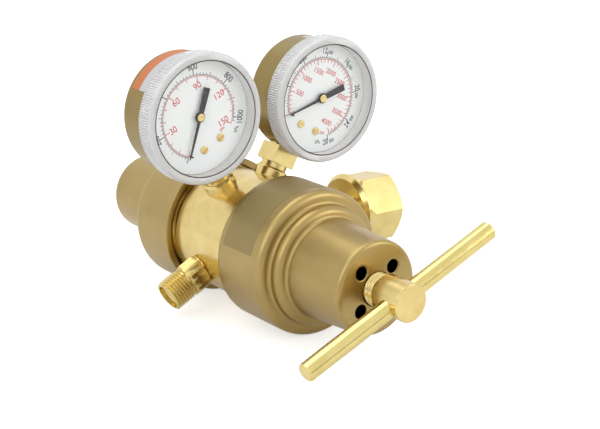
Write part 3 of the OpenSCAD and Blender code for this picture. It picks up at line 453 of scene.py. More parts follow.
class Finish(Enum):
    """The finishes of the regulator, by use."""

    SATIN = SatinGold()
    TURNED = MachinedBrass()
    # Painted shadow in the relief grooves beside the bonnet rims
    BODY = MachinedBrass("body_brass", grooves=((-26.0, -23.0), (15.0, 18.0)))
    # Painted shade: the bonnets' gold plating, darkened for the gauge cases, which catch less light
    CASE = SatinGold("case_plating_shaded", (0.275, 0.20, 0.062), (0.315, 0.23, 0.075))
    MILLED = MachinedBrass("milled_brass", (0.74, 0.575, 0.225), (0.82, 0.665, 0.285), (0.18, 0.29),
                           (0.4, 0.4, 7.0), 0.3)
    BAR = MachinedBrass("drawn_brass", (0.72, 0.58, 0.215), (0.80, 0.665, 0.27), (0.12, 0.23),
                        (5.0, 0.5, 5.0), 0.2)
    DARK = MachinedBrass("outlet_brass", (0.64, 0.49, 0.17), (0.74, 0.59, 0.24), (0.19, 0.30),
                         (6.0, 6.0, 1.0), 0.15)
    STEEL = Plain("spring_steel", (0.50, 0.51, 0.52), (0.66, 0.67, 0.68), 0.28, metal=1.0)
    BRONZE = Plain("phosphor_bronze", (0.42, 0.24, 0.10), (0.56, 0.34, 0.16), 0.32, metal=1.0)
    RUBBER = Plain("diaphragm_rubber", (0.02, 0.02, 0.022), (0.035, 0.035, 0.038), 0.6, 6.0, 0.02)
    ENAMEL = Plain("dial_enamel", (0.88, 0.91, 0.905), (0.91, 0.935, 0.93), 0.38, 4.0, 0.004)
    NEEDLE = Plain("needle_paint", (0.010, 0.010, 0.011), (0.020, 0.020, 0.022), 0.42, 9.0, 0.006)
    RED_INK = Plain("red_ink", (0.62, 0.035, 0.035), (0.70, 0.055, 0.05), 0.5, 12.0, 0.002)
    BLACK_INK = Plain("black_ink", (0.015, 0.015, 0.017), (0.03, 0.03, 0.032), 0.5, 12.0, 0.002)
    ORANGE_STRIP = Plain("orange_strip", (0.48, 0.145, 0.04), (0.54, 0.17, 0.05), 0.5, 1.5, 0.004)
    WHITE_STRIP = Plain("white_strip", (0.46, 0.475, 0.485), (0.50, 0.515, 0.525), 0.5, 1.5, 0.004)
    FILM = Plain("tinted_film", (0.29, 0.215, 0.082), (0.31, 0.23, 0.09), 0.40, 6.0, 0.002, 0.55)
    # Painted shadow for the dark line at the lens window's edge
    SEAM = Plain("lens_shadow_ring", (0.05, 0.035, 0.02), (0.08, 0.055, 0.03), 0.3, 3.0, 0.002)
    RIM = ClearPlastic("clear_rim", (0.93, 0.93, 0.935), 0.10, 0.45)
    # Painted shade for the valleys between the lens rim's ribs
    GROOVE = ClearPlastic("rim_valley_shade", (0.66, 0.66, 0.675), 0.12, 0.40)
    WINDOW = ClearPlastic("clear_window", (1.0, 1.0, 1.0), 0.015, 0.0, 0.02)

    def material(self) -> Material:
        """Gives the finish's material, made once.

        Returns:
            The material.
        """
        return bpy.data.materials.get(self.value.name) or self.value.material()


def stand(name: str, data: ID) -> Object:
    """Makes an object of a mesh, curve, camera or lamp and links it to the scene."""
    made = bpy.data.objects.new(name, data)
    bpy.context.scene.collection.objects.link(made)
    return made


def finished(made: Object) -> Mesh:
    """Gives a new mesh of an object, as its font or its modifiers leave it."""
    return bpy.data.meshes.new_from_object(made.evaluated_get(bpy.context.evaluated_depsgraph_get()))


def polar(radius: float, angle: float) -> Vector:
    """Gives the flat point at a radius and an angle in radians."""
    return Vector((math.cos(angle), math.sin(angle))) * radius


@dataclass
class Skin:
    """Points and faces of a piece on its way to a mesh, in millimetres."""

    points: list[Point] = field(default_factory=list)
    faces: list[Face] = field(default_factory=list)
    slots: list[int] = field(default_factory=list)

    def add(self, points: Iterable[Point], faces: Iterable[Face], slot: int = 0) -> None:
        """Adds points and the faces among them.

        Args:
            points: new points.
            faces: faces that count from the first new point.
            slot: which of the piece's finishes they take.
        """
        start = len(self.points)
        self.points.extend(points)
        for face in faces:
            self.faces.append(tuple(start + index for index in face))
            self.slots.append(slot)

    def revolve(self, profile: Profile, steps: int, slot: int = 0,
                radius: Callable[[float, float, float], float] | None = None) -> None:
        """Turns a closed profile of (radius, height) pairs about Z.

        Args:
            profile: the pairs, of which the last joins the first.
            steps: how many angles the turn has.
            slot: which finish the faces take.
            radius: changes a radius by (radius, height, angle), for ribs and threads.
        """
        count = len(profile)
        points = []
        for step in range(steps):
            angle = 2 * math.pi * step / steps
            for r, z in profile:
                points.append((*polar(radius(r, z, angle) if radius else r, angle), z))
        faces = []
        for step in range(steps):
            here, there = step * count, (step + 1) % steps * count
            for index in range(count):
                after = (index + 1) % count
                faces.append((here + index, there + index, there + after, here + after))
        self.add(points, faces, slot)

    def prism(self, outline: Profile, low: float, high: float, slot: int = 0) -> None:
        """Stands a convex outline up from one height to another.

        Args:
            outline: its (x, y) pairs, anticlockwise.
            low: the first height.
            high: the other height.
            slot: which finish the faces take.
        """
        count = len(outline)
        points = [(x, y, low) for x, y in outline] + [(x, y, high) for x, y in outline]
        faces: list[Face] = [tuple(range(count - 1, -1, -1)), tuple(range(count, 2 * count))]
        for index in range(count):
            after = (index + 1) % count
            faces.append((index, after, count + after, count + index))
        self.add(points, faces, slot)

    def piece(self, name: str, frame: Matrix, finishes: Sequence[Finish], body: str,
              sharp: float = 35.0) -> Object:
        """Makes the object, puts it in the row frame and lets it ride.

        Args:
            name: the object's name.
            frame: from the piece's own millimetres to the row frame in millimetres.
            finishes: its finishes, in the order of its slots.
            body: the body that it moves with.
            sharp: edges with a greater angle than this stay sharp.

        Returns:
            The object.
        """
        mesh = bpy.data.meshes.new(name)
        mesh.from_pydata([Vector(point) for point in self.points], [], self.faces)
        mesh.transform(Matrix.Scale(MM, 4) @ frame)
        for polygon, slot in zip(mesh.polygons, self.slots):
            polygon.use_smooth = True
            polygon.material_index = slot
        mesh.update()
        whole = bmesh.new()
        whole.from_mesh(mesh)
        bmesh.ops.recalc_face_normals(whole, faces=whole.faces)
        whole.to_mesh(mesh)
        whole.free()
        mesh.set_sharp_from_angle(angle=math.radians(sharp))
        made = stand(name, mesh)
        for finish in finishes:
            made.data.materials.append(finish.material())
        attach(made, body)
        LOG.info("made %s, %d faces, on %s", name, len(mesh.polygons), body)
        return made


@dataclass(frozen=True)
class Thread:
    """An external screw thread about Z, as a surface of rings that follow its helix."""

    crest: float
    root: float
    pitch: float
    low: float
    high: float
    lead_in: float = 0.7
    root_share: float = 0.10
    flank_share: float = 0.78

    def radius(self, z: float, angle: float) -> float:
        """Gives the surface's radius.

        Args:
            z: height.
            angle: in radians about the axis.

        Returns:
            The radius in millimetres.
        """
        turn = (z / self.pitch - angle / (2 * math.pi)) % 1.0
        wave = abs(2 * turn - 1)
        cut = min(1.0, max(0.0, (wave - self.root_share) / self.flank_share))
        ends = min(self.crest, self.crest - self.lead_in + (z - self.low),
                   self.crest - self.lead_in + (self.high - z))
        return min(ends, self.root + (self.crest - self.root) * cut)

    def heights(self, step: float = 0.1) -> list[float]:
        """Gives the heights of the thread's rings.

        Args:
            step: about how far apart they are.

        Returns:
            The heights, from its low end to its high end.
        """
        count = int(round((self.high - self.low) / step))
        return [self.low + (self.high - self.low) * index / count for index in range(count + 1)]


@dataclass
class Frames:
    """Where the sub-assemblies' own frames stand in the row frame, in millimetres."""

    gauge_tilt: float = 28.3
    gauge_height: float = 67.6
    outlet_turn: float = -118.0
    front_seat: float = 38.0

    def body(self) -> Matrix:
        """Gives the body's axis in the port plane."""
        return Matrix.Translation((BODY_X, 0, 0))

    def port(self, turn: float) -> Matrix:
        """Gives a port's frame, whose Z points out at an angle from the vertical."""
        return self.body() @ Matrix.Rotation(math.radians(turn), 4, "Y")

    def gauge(self, side: int) -> Matrix:
        """Gives a gauge's frame, with Z along its axis out of its face and Y up the dial."""
        reach = Matrix.Translation((0, 0, self.gauge_height))
        return self.port(side * self.gauge_tilt) @ reach @ FACING

    def front(self) -> Matrix:
        """Gives the front seat's frame, with Z out of the bonnet and Y up."""
        return self.body() @ Matrix.Translation((0, -self.front_seat, 0)) @ FACING


@dataclass
class Castings:
    """The CAD pieces that keep their shape and take a finish."""

    finishes: dict[str, Finish] = field(default_factory=lambda: {
        "front_bonnet": Finish.SATIN, "rear_bonnet": Finish.SATIN, "gauge_case": Finish.CASE,
        "regulator_body": Finish.BODY, "slip_ring": Finish.TURNED,
        "diaphragm_plate": Finish.TURNED, "movement_frame": Finish.MILLED,
        "sector_gear": Finish.MILLED, "dial_screws": Finish.TURNED, "tee_bar": Finish.BAR,
        "inlet_nipple": Finish.MILLED, "inlet_nut": Finish.MILLED, "gauge_socket": Finish.MILLED,
        "passage_plug": Finish.DARK, "clamp_nut": Finish.DARK, "nozzle": Finish.DARK,
        "button": Finish.DARK, "outlet_fitting": Finish.DARK, "adjusting_screw": Finish.TURNED,
        "inlet_filter": Finish.BRONZE, "bourdon_tube": Finish.BRONZE, "soft_seat": Finish.RUBBER,
        "front_diaphragm": Finish.RUBBER, "rear_diaphragm": Finish.RUBBER,
        "_dial": Finish.ENAMEL, "_pointer": Finish.NEEDLE, "_lens": Finish.RIM})

    def finish_of(self, node: str) -> Finish:
        """Finds a node's finish.

        Args:
            node: the node's name.

        Returns:
            The finish of the longest name that the node's name ends with, or steel.
        """
        fits = [key for key in self.finishes if node.endswith(key)]
        return self.finishes[max(fits, key=len)] if fits else Finish.STEEL

    def dress(self, nodes: dict[str, Object]) -> None:
        """Gives every CAD node its finish.

        Args:
            nodes: the frame's objects by name.
        """
        for name, node in nodes.items():
            node.data.materials.clear()
            node.data.materials.append(self.finish_of(name).material())
            LOG.info("dressed %s", name)


@dataclass
class Scale:
    """A dial's inner scale in red, with upright numbers, and its unit."""

    top: float
    last: float
    major: int
    minor: int
    text_radius: float
    text_height: float
    unit_place: Vector
    unit_turn: float = 0.0
    unit: str = "psi"
    slot: int = 0
    foot: float = 17.2
    ticks: Point = (-2.4, -1.5, -1.5)
    bold: float = 0.336
    fine: float = 0.252
    arc_width: float = 0.28
    squeeze: float = 0.9
    swell: float = 0.02
    unit_height: float = 1.7
    zero_angle: float = 225.0
    sweep: float = 270.0
    face: float = 12.2
    lift: float = 0.03
    arc_steps: int = 120

    def angle(self, value: float) -> float:
        """Gives a value's angle, in radians from three o'clock."""
        return math.radians(self.zero_angle - self.sweep * (value / self.top))

    def tick(self, skin: Skin, angle: float, length: float, width: float) -> None:
        """Draws a tick.

        Args:
            skin: what it is added to.
            angle: where it stands, in radians.
            length: how far it goes outward from the arc.
            width: across it.
        """
        along = polar(1.0, angle)
        aside = Vector((-along.y, along.x)) * width / 2
        inner, outer = sorted((self.foot, self.foot + length))
        corners = [along * inner - aside, along * outer - aside, along * outer + aside,
                   along * inner + aside]
        skin.prism(corners, self.face, self.face + self.lift, self.slot)

    def arc(self, skin: Skin) -> None:
        """Draws the arc from zero to the last value.

        Args:
            skin: what it is added to.
        """
        points: list[Point] = []
        faces: list[Face] = []
        for step in range(self.arc_steps + 1):
            angle = self.angle(self.last * step / self.arc_steps)
            for aside in (-self.arc_width / 2, self.arc_width / 2):
                points.append((*polar(self.foot + aside, angle), self.face + self.lift))
            if step:
                here = 2 * step
                faces.append((here - 2, here, here + 1, here - 1))
        skin.add(points, faces, self.slot)

    def words(self, skin: Skin, text: str, centre: Vector, turn: float, height: float,
              swell: float) -> None:
        """Draws a number or unit.

        Args:
            skin: what it is added to.
            text: the characters.
            centre: the middle of the text.
            turn: its angle in radians.
            height: of a capital, in millimetres.
            swell: how much the strokes are fattened, in millimetres.
        """
        curve = bpy.data.curves.new("lettering", "FONT")
        curve.body = text
        curve.size = height / CAPITAL
        curve.offset = swell
        curve.align_x = "CENTER"
        curve.align_y = "CENTER"
        holder = stand("lettering", curve)
        mesh = finished(holder)
        bpy.data.objects.remove(holder)
        bpy.data.curves.remove(curve)
        spin = Matrix.Rotation(turn, 2)
        points = []
        for vertex in mesh.vertices:
            flat = spin @ Vector((self.squeeze * vertex.co.x, vertex.co.y)) + centre
            points.append((*flat, self.face + self.lift))
        skin.add(points, [tuple(polygon.vertices) for polygon in mesh.polygons], self.slot)
        bpy.data.meshes.remove(mesh)

    def number(self, skin: Skin, value: int) -> None:
        """Draws an upright number beside its tick."""
        self.words(skin, str(value), polar(self.text_radius, self.angle(value)), 0.0,
                   self.text_height, self.swell)

    def marks(self, skin: Skin) -> None:
        """Draws the ticks, the numbers and the unit.

        Args:
            skin: what they are added to.
        """
        for step in range(int(round(self.last / self.minor)) + 1):
            value = step * self.minor
            size = 0 if value % self.major == 0 else 1 if value % (self.major // 2) == 0 else 2
            self.tick(skin, self.angle(value), self.ticks[size], self.fine if size else self.bold)
            if value and not size:
                self.number(skin, value)
        self.words(skin, self.unit, self.unit_place, math.radians(self.unit_turn),
                   self.unit_height, self.swell)


@dataclass
class RimScale(Scale):
    """A dial's outer scale in black, with numbers along its edge, and its unit."""

    unit: str = "kPa"
    slot: int = 1
    foot: float = 17.75
    ticks: Point = (2.35, 1.55, 0.85)
    fine: float = 0.224
    arc_width: float = 0.224
    squeeze: float = 0.8
    rim_swell: float = 0.03
    small_zeros: int = 0
    small: float = 0.6
    advance: float = 0.86

    def number(self, skin: Skin, value: int) -> None:
        """Draws a number along the dial's edge, with its last zeros small.

        Args:
            skin: what it is added to.
            value: the number.
        """
        angle = self.angle(value)
        side = -1.0 if math.sin(angle) > 0 else 1.0
        text = str(value)
        big = text[:len(text) - self.small_zeros]
        little = text[len(big):]
        advance = self.advance * self.squeeze * self.text_height
        offset = -advance * (len(big) + len(little) * self.small) / 2
        for part, share in ((big, 1.0), (little, self.small)):
            if part:
                span = len(part) * advance * share
                middle = angle + side * (offset + span / 2) / self.text_radius
                radius = self.text_radius + side * self.text_height * (1.0 - share) / 2
                self.words(skin, part, polar(radius, middle), middle + side * math.pi / 2,
                           self.text_height * share, self.rim_swell)
                offset += span


@dataclass
class DialPrint:
    """The print of a dial, with both scales and the pin that stops the pointer."""

    side: int
    name: str
    scales: tuple[Scale, RimScale]
    pin_angle: float = math.radians(227.4)
    pin_place: float = 17.0
    pin_radius: float = 0.38
    pin_height: float = 2.03

    def build(self, frames: Frames) -> Object:
        """Prints the dial.

        Args:
            frames: where the gauge stands.

        Returns:
            The print, as one thin piece.
        """
        skin = Skin()
        for scale in self.scales:
            scale.arc(skin)
            scale.marks(skin)
        pin = polar(self.pin_place, self.pin_angle)
        face = self.scales[0].face
        skin.prism([pin + polar(self.pin_radius, math.radians(turn)) for turn in range(0, 360, 20)],
                   face, face + self.pin_height, 1)
        return skin.piece(self.name, frames.gauge(self.side), (Finish.RED_INK, Finish.BLACK_INK),
                          "regulator")


@dataclass
class GaugeLens:
    """The clear moulded lens: a finely ribbed rim around a flat window, with painted shade in the rib
    valleys and a ring of painted shadow at the window's edge.
    """

    side: int
    name: str
    outside: float = 28.0
    rib_depth: float = 0.38
    rib_foot: Range = (0.25, 0.5)
    rib_middle: float = 3.5
    rib_tip: Range = (1.2, 0.9)
    smooth: float = 27.52
    smooth_step: float = 0.02
    ribs: int = 168
    inner: float = 24.7
    case_inner: float = 26.0
    front: float = 18.6
    back: float = 10.4
    shoulder: float = 11.7
    rounding: float = 0.8
    bevel: float = 0.35
    window: float = 1.6
    window_gap: float = 0.04
    window_sink: float = 0.2
    # Width and depths of the ring of painted shadow at the window's edge
    seam: float = 0.45
    seam_sink: Range = (0.14, 0.1)
    rib_steps: int = 6
    # Steps of each rib whose faces take the painted valley shade
    valley_steps: tuple[int, int] = (2, 3)

    def ribbed(self, r: float, z: float, angle: float) -> float:
        """Gives the rim's radius at an angle, sunk between two ribs."""
        sunk = self.rib_depth * (0.5 - 0.5 * math.cos(self.ribs * angle))
        return r - sunk if r == self.outside else r

    def build(self, frames: Frames) -> Object:
        """Makes the lens.

        Args:
            frames: where the gauge stands.

        Returns:
            The lens, in place of its CAD node.
        """
        skin = Skin()
        inner, outside, front, back = self.inner, self.outside, self.front, self.back
        corner = Vector((self.smooth - self.rounding, front - self.rounding))
        arc = [tuple(corner + polar(self.rounding, math.radians(a))) for a in range(0, 91, 15)]
        root = self.smooth + self.smooth_step
        rim = [(inner, self.shoulder), (self.case_inner, self.shoulder), (self.case_inner, back),
               (self.smooth, back), (root, back + self.rib_foot[0]),
               (outside, back + self.rib_foot[1]), (outside, back + self.rib_middle),
               (outside, front - self.rib_tip[0]), (root, front - self.rib_tip[1]), *arc,
               (inner + self.bevel, front), (inner, front - self.bevel)]
        skin.revolve(rim, self.ribs * self.rib_steps, 0, self.ribbed)
        # Painted shade: the faces in the valleys between the ribs take a darker grey plastic
        for index in range(len(skin.faces)):
            step, place = divmod(index, len(rim))
            if step % self.rib_steps in self.valley_steps and rim[place][0] == outside:
                skin.slots[index] = 3
        edge = inner - self.window_gap
        face = front - self.window_sink
        pane = [(AXIS, front - self.window), (edge, front - self.window), (edge, front - self.bevel),
                (edge + self.window_sink - self.bevel, face), (AXIS, face)]
        skin.revolve(pane, 144, 1)
        # Painted shadow: a thin dark-brown ring at the window's edge, where the gap between lens and case
        # lies in shade
        low, high = (front - sink for sink in self.seam_sink)
        seam = [(inner - self.seam, low), (inner, low), (inner, high), (inner - self.seam, high)]
        skin.revolve(seam, 144, 2)
        made = skin.piece(self.name + "_clear", frames.gauge(self.side),
                          (Finish.RIM, Finish.WINDOW, Finish.SEAM, Finish.GROOVE), "regulator", 50.0)
        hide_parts(self.name)
        return made


@dataclass
class PointerCap:
    """The brass cap in the middle of a pointer."""

    side: int
    name: str
    body: str
    radius: float = 1.75
    low: float = 14.38
    high: float = 14.75
    bevel: float = 0.2
    dimple: Range = (0.45, 0.3)
    dimple_depth: Range = (0.15, 0.18)

    def build(self, frames: Frames) -> Object:
        """Makes the cap.

        Args:
            frames: where the gauge stands.

        Returns:
            The cap, which turns with the pointer.
        """
        skin = Skin()
        lip, floor = self.dimple
        skin.revolve([(AXIS, self.low), (self.radius, self.low),
                      (self.radius, self.high - self.bevel),
                      (self.radius - self.bevel, self.high), (lip, self.high),
                      (floor, self.high - self.dimple_depth[0]),
                      (AXIS, self.high - self.dimple_depth[1])], 48)
        return skin.piece(self.name, frames.gauge(self.side), (Finish.TURNED,), self.body)


@dataclass(frozen=True)
class Band:
    """A thin band that lies on a cylinder about Z, between two angles in degrees."""

    radius: float
    thick: float
    start: float
    end: float
    steps: int = 48

    def lay(self, skin: Skin, low: float, high: float, slot: int) -> None:
        """Adds the band to a piece.

        Args:
            skin: what it is added to.
            low: its low edge.
            high: its high edge.
            slot: its finish.
        """
        points: list[Point] = []
        faces: list[Face] = []
        under, over = self.radius + BAND_GAP, self.radius + self.thick
        for step in range(self.steps + 1):
            angle = math.radians(self.start + (self.end - self.start) * step / self.steps)
            for r, z in ((under, low), (under, high), (over, high), (over, low)):
                points.append((*polar(r, angle), z))
            if step:
                here = 4 * step
                for side in range(4):
                    after = (side + 1) % 4
                    faces.append((here - 4 + side, here + side, here + after, here - 4 + after))
        last = 4 * self.steps
        faces += [(0, 1, 2, 3), (last + 3, last + 2, last + 1, last)]
        skin.add(points, faces, slot)


@dataclass
class CaseStrip:
    """The plain two-tone strip around the top of a gauge case."""

    side: int
    name: str
    rear: float = -2.6
    middle: float = 3.2
    fore: float = 10.2
    band: Band = Band(25.8, 0.07, 57.0, 123.0)

    def build(self, frames: Frames) -> Object:
        """Makes the strip.

        Args:
            frames: where the gauge stands.

        Returns:
            The strip on its case.
        """
        skin = Skin()
        self.band.lay(skin, self.rear, self.middle, 0)
        self.band.lay(skin, self.middle, self.fore, 1)
        return skin.piece(self.name, frames.gauge(self.side),
                          (Finish.ORANGE_STRIP, Finish.WHITE_STRIP), "regulator")


@dataclass
class BonnetFilm:
    """The bare tinted film that lies around the front bonnet's rim."""

    low: float = -10.6
    high: float = 9.6
    band: Band = Band(31.5, 0.05, 62.0, 166.0, 64)

    def build(self, frames: Frames) -> Object:
        """Makes the film.

        Args:
            frames: where the bonnet stands.

        Returns:
            The film on the rim.
        """
        skin = Skin()
        self.band.lay(skin, self.low, self.high, 0)
        return skin.piece("bonnet_film", frames.front(), (Finish.FILM,), "regulator")


@dataclass
class OutletFitting:
    """The outlet with its hexagon, relief, cut thread and cone seat."""

    foot: float = 17.1
    boss_top: float = 27.6
    hex_flats: float = 14.3
    hex_length: float = 8.0
    hex_turn: float = 6.7
    relief: float = 1.2
    length: float = 9.8
    crest: float = 7.14
    root: float = 6.3
    pitch: float = 1.411
    bore: float = 3.2
    mouth: float = 5.6
    mouth_depth: float = 2.0
    port_thread: float = 5.95
    port_bevel: float = 0.6
    hex_bevel: Range = (1.15, 0.65)
    undercut: float = 0.05

    def build(self, frames: Frames) -> Object:
        """Makes the fitting.

        Args:
            frames: where the outlet port stands.

        Returns:
            The fitting, in place of its CAD node.
        """
        hex_end = self.boss_top + self.hex_length
        start = hex_end + self.relief
        end = start + self.length
        thread = Thread(self.crest, self.root, self.pitch, start, end)
        cone_end = end - self.mouth_depth
        corner = self.hex_flats / 2 / math.cos(math.pi / 6)
        inset, rise = self.hex_bevel
        inner = [(self.bore, self.foot), (self.port_thread - self.port_bevel, self.foot),
                 (self.port_thread, self.foot + self.port_bevel),
                 (self.port_thread, self.boss_top)]
        nut = [(corner - inset, self.boss_top), (corner, self.boss_top + rise),
               (corner, hex_end - rise), (corner - inset, hex_end)]
        waist = [(self.root - self.undercut, hex_end), (self.root - self.undercut, start)]
        threads = [(self.crest, z) for z in thread.heights()]
        last = [(self.mouth, end), (self.mouth, cone_end), (self.bore, cone_end - self.mouth + self.bore)]

        def shaped(r: float, z: float, angle: float) -> float:
            """Gives the radius on the hexagon's flats or the thread."""
            if self.boss_top <= z <= hex_end and r >= corner - inset:
                turn = (angle - math.radians(self.hex_turn)) % (math.pi / 3) - math.pi / 6
                return min(r, self.hex_flats / 2 / math.cos(turn))
            if r == self.crest and start <= z <= end:
                return thread.radius(z, angle)
            return r

        skin = Skin()
        skin.revolve(inner + nut + waist + threads + last, 144, 0, shaped)
        made = skin.piece("outlet_threaded", frames.port(frames.outlet_turn), (Finish.DARK,),
                          "regulator", 28.0)
        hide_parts("outlet_fitting")
        return made


@dataclass
class AdjustingScrew:
    """The adjusting screw with its cut thread, neck and plain hub."""

    point: float = 31.66
    point_radius: float = 3.0
    point_length: float = 4.8
    crest: float = 7.0
    root: float = 6.1
    pitch: float = 2.117
    lead_in: float = 0.4
    hub_low: float = 58.8
    hub_high: float = 74.2
    hub_radius: float = 7.95
    bar_z: float = 67.8
    bar_radius: float = 3.97
    bar_turn: float = 23.0
    bar_gap: float = 0.06
    point_bevel: float = 0.5
    hub_bevel: float = 0.9
    hub_edge: float = 0.35
    neck: float = 0.9
    ring_step: float = 0.14
    run_out: float = 0.05

    def build(self, frames: Frames) -> Object:
        """Makes the screw, with a hole through its hub for the bar.

        Args:
            frames: where the front seat stands.

        Returns:
            The screw, in place of its CAD node.
        """
        skin = Skin()
        foot = self.point + self.point_length + self.crest - self.point_radius
        neck = self.hub_low - self.neck
        thread = Thread(self.crest, self.root, self.pitch, foot, neck, self.lead_in)

        def shaped(r: float, z: float, angle: float) -> float:
            """Gives the radius on the thread."""
            return thread.radius(z, angle) if r == self.crest else r

        profile = [(AXIS, self.point), (self.point_radius - self.point_bevel, self.point),
                   (self.point_radius, self.point + self.point_bevel),
                   (self.point_radius, self.point + self.point_length)]
        profile += [(self.crest, z) for z in thread.heights(self.ring_step)]
        profile += [(self.root, neck + self.run_out), (self.root, self.hub_low),
                    (self.hub_radius - self.hub_bevel, self.hub_low),
                    (self.hub_radius, self.hub_low + self.hub_bevel),
                    (self.hub_radius, self.hub_high - self.hub_edge),
                    (self.hub_radius - self.hub_edge, self.hub_high), (AXIS, self.hub_high)]
        skin.revolve(profile, 120, 0, shaped)
        made = skin.piece("screw_threaded", frames.front(), (Finish.TURNED,), "adjusting_screw")
        drill = Skin()
        far = 2 * self.hub_radius
        hole = self.bar_radius + self.bar_gap
        drill.revolve([(AXIS, -far), (hole, -far), (hole, far), (AXIS, far)], 64)
        across = (frames.front() @ Matrix.Translation((0, 0, self.bar_z))
                  @ Matrix.Rotation(math.radians(self.bar_turn), 4, "Z")
                  @ Matrix.Rotation(math.radians(90), 4, "Y"))
        cutter = drill.piece("bar_drill", across, (Finish.TURNED,), "adjusting_screw")
        cut_away(made, cutter)
        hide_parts("adjusting_screw")
        return made


def cut_away(made: Object, cutter: Object) -> None:
    """Cuts one solid out of another for good and drops the cutter.

    Args:
        made: the piece that stays.
        cutter: the solid that is taken away.
    """
    cut = made.modifiers.new("cut", "BOOLEAN")
    cut.operation = "DIFFERENCE"
    cut.solver = "EXACT"
    cut.object = cutter
    shaped = finished(made)
    made.modifiers.remove(cut)
    old = made.data
    shaped.name = old.name
    made.data = shaped
    bpy.data.meshes.remove(old)
    bpy.data.objects.remove(cutter)
    made.data.set_sharp_from_angle(angle=math.radians(35))


@dataclass(frozen=True)
class SoftBox:
    """A soft rectangular lamp, in metres and watts."""

    name: str
    place: Point
    size: Range
    power: float

    def hang(self, aim: Point) -> None:
        """Hangs the lamp.

        Args:
            aim: the point that it faces.
        """
        data = bpy.data.lights.new(self.name, "AREA")
        data.shape = "RECTANGLE"
        data.size, data.size_y = self.size
        data.energy = self.power
        box = stand(self.name, data)
        box.location = self.place
        box.rotation_euler = (Vector(aim) - Vector(self.place)).to_track_quat("-Z", "Y").to_euler()


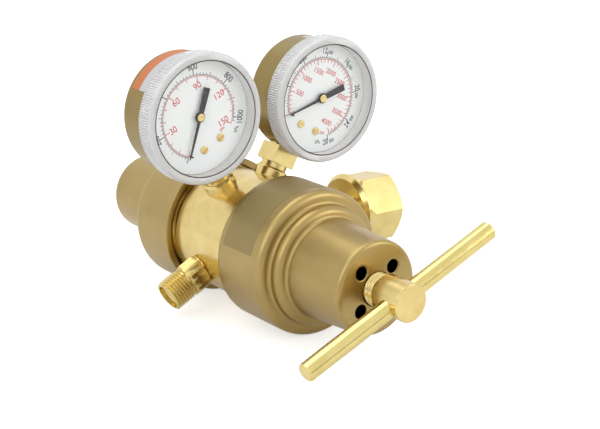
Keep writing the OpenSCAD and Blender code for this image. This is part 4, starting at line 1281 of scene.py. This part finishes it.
@dataclass
class Studio:
    """The camera, the soft lights, the white surround and the pale floor, in metres."""

    eye: Point = (-0.4199, -0.5007, 0.1936)
    right: Point = (0.7994, -0.6008, 0.0062)
    up: Point = (0.1700, 0.2360, 0.9568)
    back: Point = (-0.5763, -0.7638, 0.2908)
    lens: float = 85.8
    sensor: float = 36.0
    sharp_range: Range = (0.01, 20.0)
    floor: float = -0.0316
    floor_reach: float = 4.0
    floor_shade: Colour = (0.72, 0.72, 0.72)
    floor_light: Colour = (0.74, 0.74, 0.74)
    sky: float = 0.95
    floor_glow: float = 0.6
    floor_shine: float = 0.15
    rise: Range = (0.0, 0.03)
    band: Range = (0.12, 0.24)
    fore: Range = (-0.6, -0.3)
    band_level: float = 0.5
    aim: Point = (-0.075, 0.0, 0.02)
    lamps: tuple[SoftBox, ...] = (SoftBox("top_box", (-0.15, 0.15, 0.75), (0.6, 0.6), 1.5),
                                  SoftBox("left_box", (-0.75, -0.25, 0.45), (0.4, 0.6), 1.0),
                                  SoftBox("right_box", (0.45, -0.65, 0.35), (0.4, 0.5), 1.2))

    def camera(self) -> None:
        """Puts the camera where the photograph was taken from."""
        data = bpy.data.cameras.new("camera")
        data.lens = self.lens
        data.sensor_width = self.sensor
        data.sensor_fit = "HORIZONTAL"
        data.clip_start, data.clip_end = self.sharp_range
        shot = stand("camera", data)
        turn = Matrix((self.right, self.up, self.back)).transposed().to_quaternion()
        shot.matrix_world = Matrix.Translation(self.eye) @ turn.to_matrix().to_4x4()
        bpy.context.scene.camera = shot

    def horizon(self, nodes: Nodes, glossy: Socket) -> Socket:
        """Makes the white's strength, dimmer in gloss low above the horizon in front.

        Args:
            nodes: the world's nodes.
            glossy: the socket that is 1 for glossy rays.

        Returns:
            The socket with the strength.
        """
        parts = nodes.add("ShaderNodeSeparateXYZ")
        nodes.join(nodes.add("ShaderNodeTexCoord").outputs["Generated"], parts.inputs[0])
        dim = glossy
        for axis, span, share in (("Z", self.rise, (0.0, 1.0)), ("Z", self.band, (1.0, 0.0)),
                                  ("Y", self.fore, (1.0, 0.0))):
            step = nodes.between(parts.outputs[axis], span, share, "SMOOTHSTEP")
            dim = nodes.sum("MULTIPLY", dim, step)
        return nodes.between(dim, (0.0, 1.0), (1.0, self.band_level))

    def surround(self) -> None:
        """Makes the world white to the eye and in gloss, and softer as a light."""
        world = bpy.data.worlds.new("surround")
        world.use_nodes = True
        bpy.context.scene.world = world
        world.node_tree.nodes.clear()
        nodes = Nodes(world.node_tree)
        rays = nodes.add("ShaderNodeLightPath").outputs
        soft = nodes.add("ShaderNodeBackground", Color=WHITE, Strength=self.sky)
        white = nodes.add("ShaderNodeBackground", Color=WHITE)
        nodes.join(self.horizon(nodes, rays["Is Glossy Ray"]), white.inputs["Strength"])
        nodes.join(nodes.by_ray(rays, soft.outputs[0], white.outputs[0]),
                   nodes.add("ShaderNodeOutputWorld").inputs["Surface"])

    def ground(self) -> None:
        """Lays the pale floor, which keeps the object's shadow."""
        mesh = bpy.data.meshes.new("floor")
        far = self.floor_reach
        mesh.from_pydata([(-far, -far, self.floor), (far, -far, self.floor),
                          (far, far, self.floor), (-far, far, self.floor)], [], [(0, 1, 2, 3)])
        plane = stand("floor", mesh)
        sheet = NodeSheet("floor_paper")
        grain = sheet.noise(sheet.place(), 0.4, 2.0)
        sheet.join(sheet.blend(grain, self.floor_shade, self.floor_light),
                   sheet.shader.inputs["Base Color"])
        sheet.set(Roughness=0.9)
        rays = sheet.add("ShaderNodeLightPath").outputs
        glow = sheet.add("ShaderNodeEmission")
        level = sheet.between(rays["Is Camera Ray"], (0.0, 1.0), (self.floor_shine, self.floor_glow))
        sheet.join(level, glow.inputs["Strength"])
        paper = sheet.shader.outputs[0]
        both = sheet.add("ShaderNodeAddShader")
        sheet.join(paper, both.inputs[0])
        sheet.join(glow.outputs[0], both.inputs[1])
        out = next(node for node in sheet.tree.nodes if node.type == "OUTPUT_MATERIAL")
        sheet.join(sheet.by_ray(rays, paper, both.outputs[0]), out.inputs["Surface"])
        mesh.materials.append(sheet.material)

    def build(self) -> None:
        """Sets up the whole studio."""
        bpy.context.scene.view_settings.view_transform = "Standard"
        self.camera()
        self.surround()
        self.ground()
        for lamp in self.lamps:
            lamp.hang(self.aim)


def main() -> None:
    """Builds the looks piece by piece."""
    logging.basicConfig(level=logging.INFO, format="%(message)s")
    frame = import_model()
    frames = Frames()
    Studio().build()
    Castings().dress(frame["nodes"])
    DialPrint(-1, "low_dial_print", (
        Scale(top=150.0, last=150.0, major=30, minor=10, text_radius=13.0, text_height=2.9,
              unit_place=Vector((7.3, -11.4))),
        RimScale(top=1034.2, last=1020.0, major=200, minor=20, text_radius=21.3, text_height=2.7,
                 unit_place=Vector((12.9, -15.9)), unit_turn=38.0))).build(frames)
    DialPrint(1, "high_dial_print", (
        Scale(top=4000.0, last=4000.0, major=500, minor=100, text_radius=12.0, text_height=2.3,
              unit_place=Vector((8.6, -13.4))),
        RimScale(top=27579.0, last=28000.0, major=4000, minor=400, text_radius=20.8,
                 text_height=2.6, unit_place=Vector((8.1, -18.2)), unit_turn=24.0,
                 small_zeros=3))).build(frames)
    for side, name in ((-1, "low"), (1, "high")):
        GaugeLens(side, name + "_lens").build(frames)
        PointerCap(side, name + "_pointer_cap", name + "_pointer").build(frames)
    CaseStrip(-1, "low_case_strip").build(frames)
    CaseStrip(1, "high_case_strip", rear=0.2, middle=1.0).build(frames)
    BonnetFilm().build(frames)
    OutletFitting().build(frames)
    AdjustingScrew().build(frames)


if __name__ == "__main__":
    main()
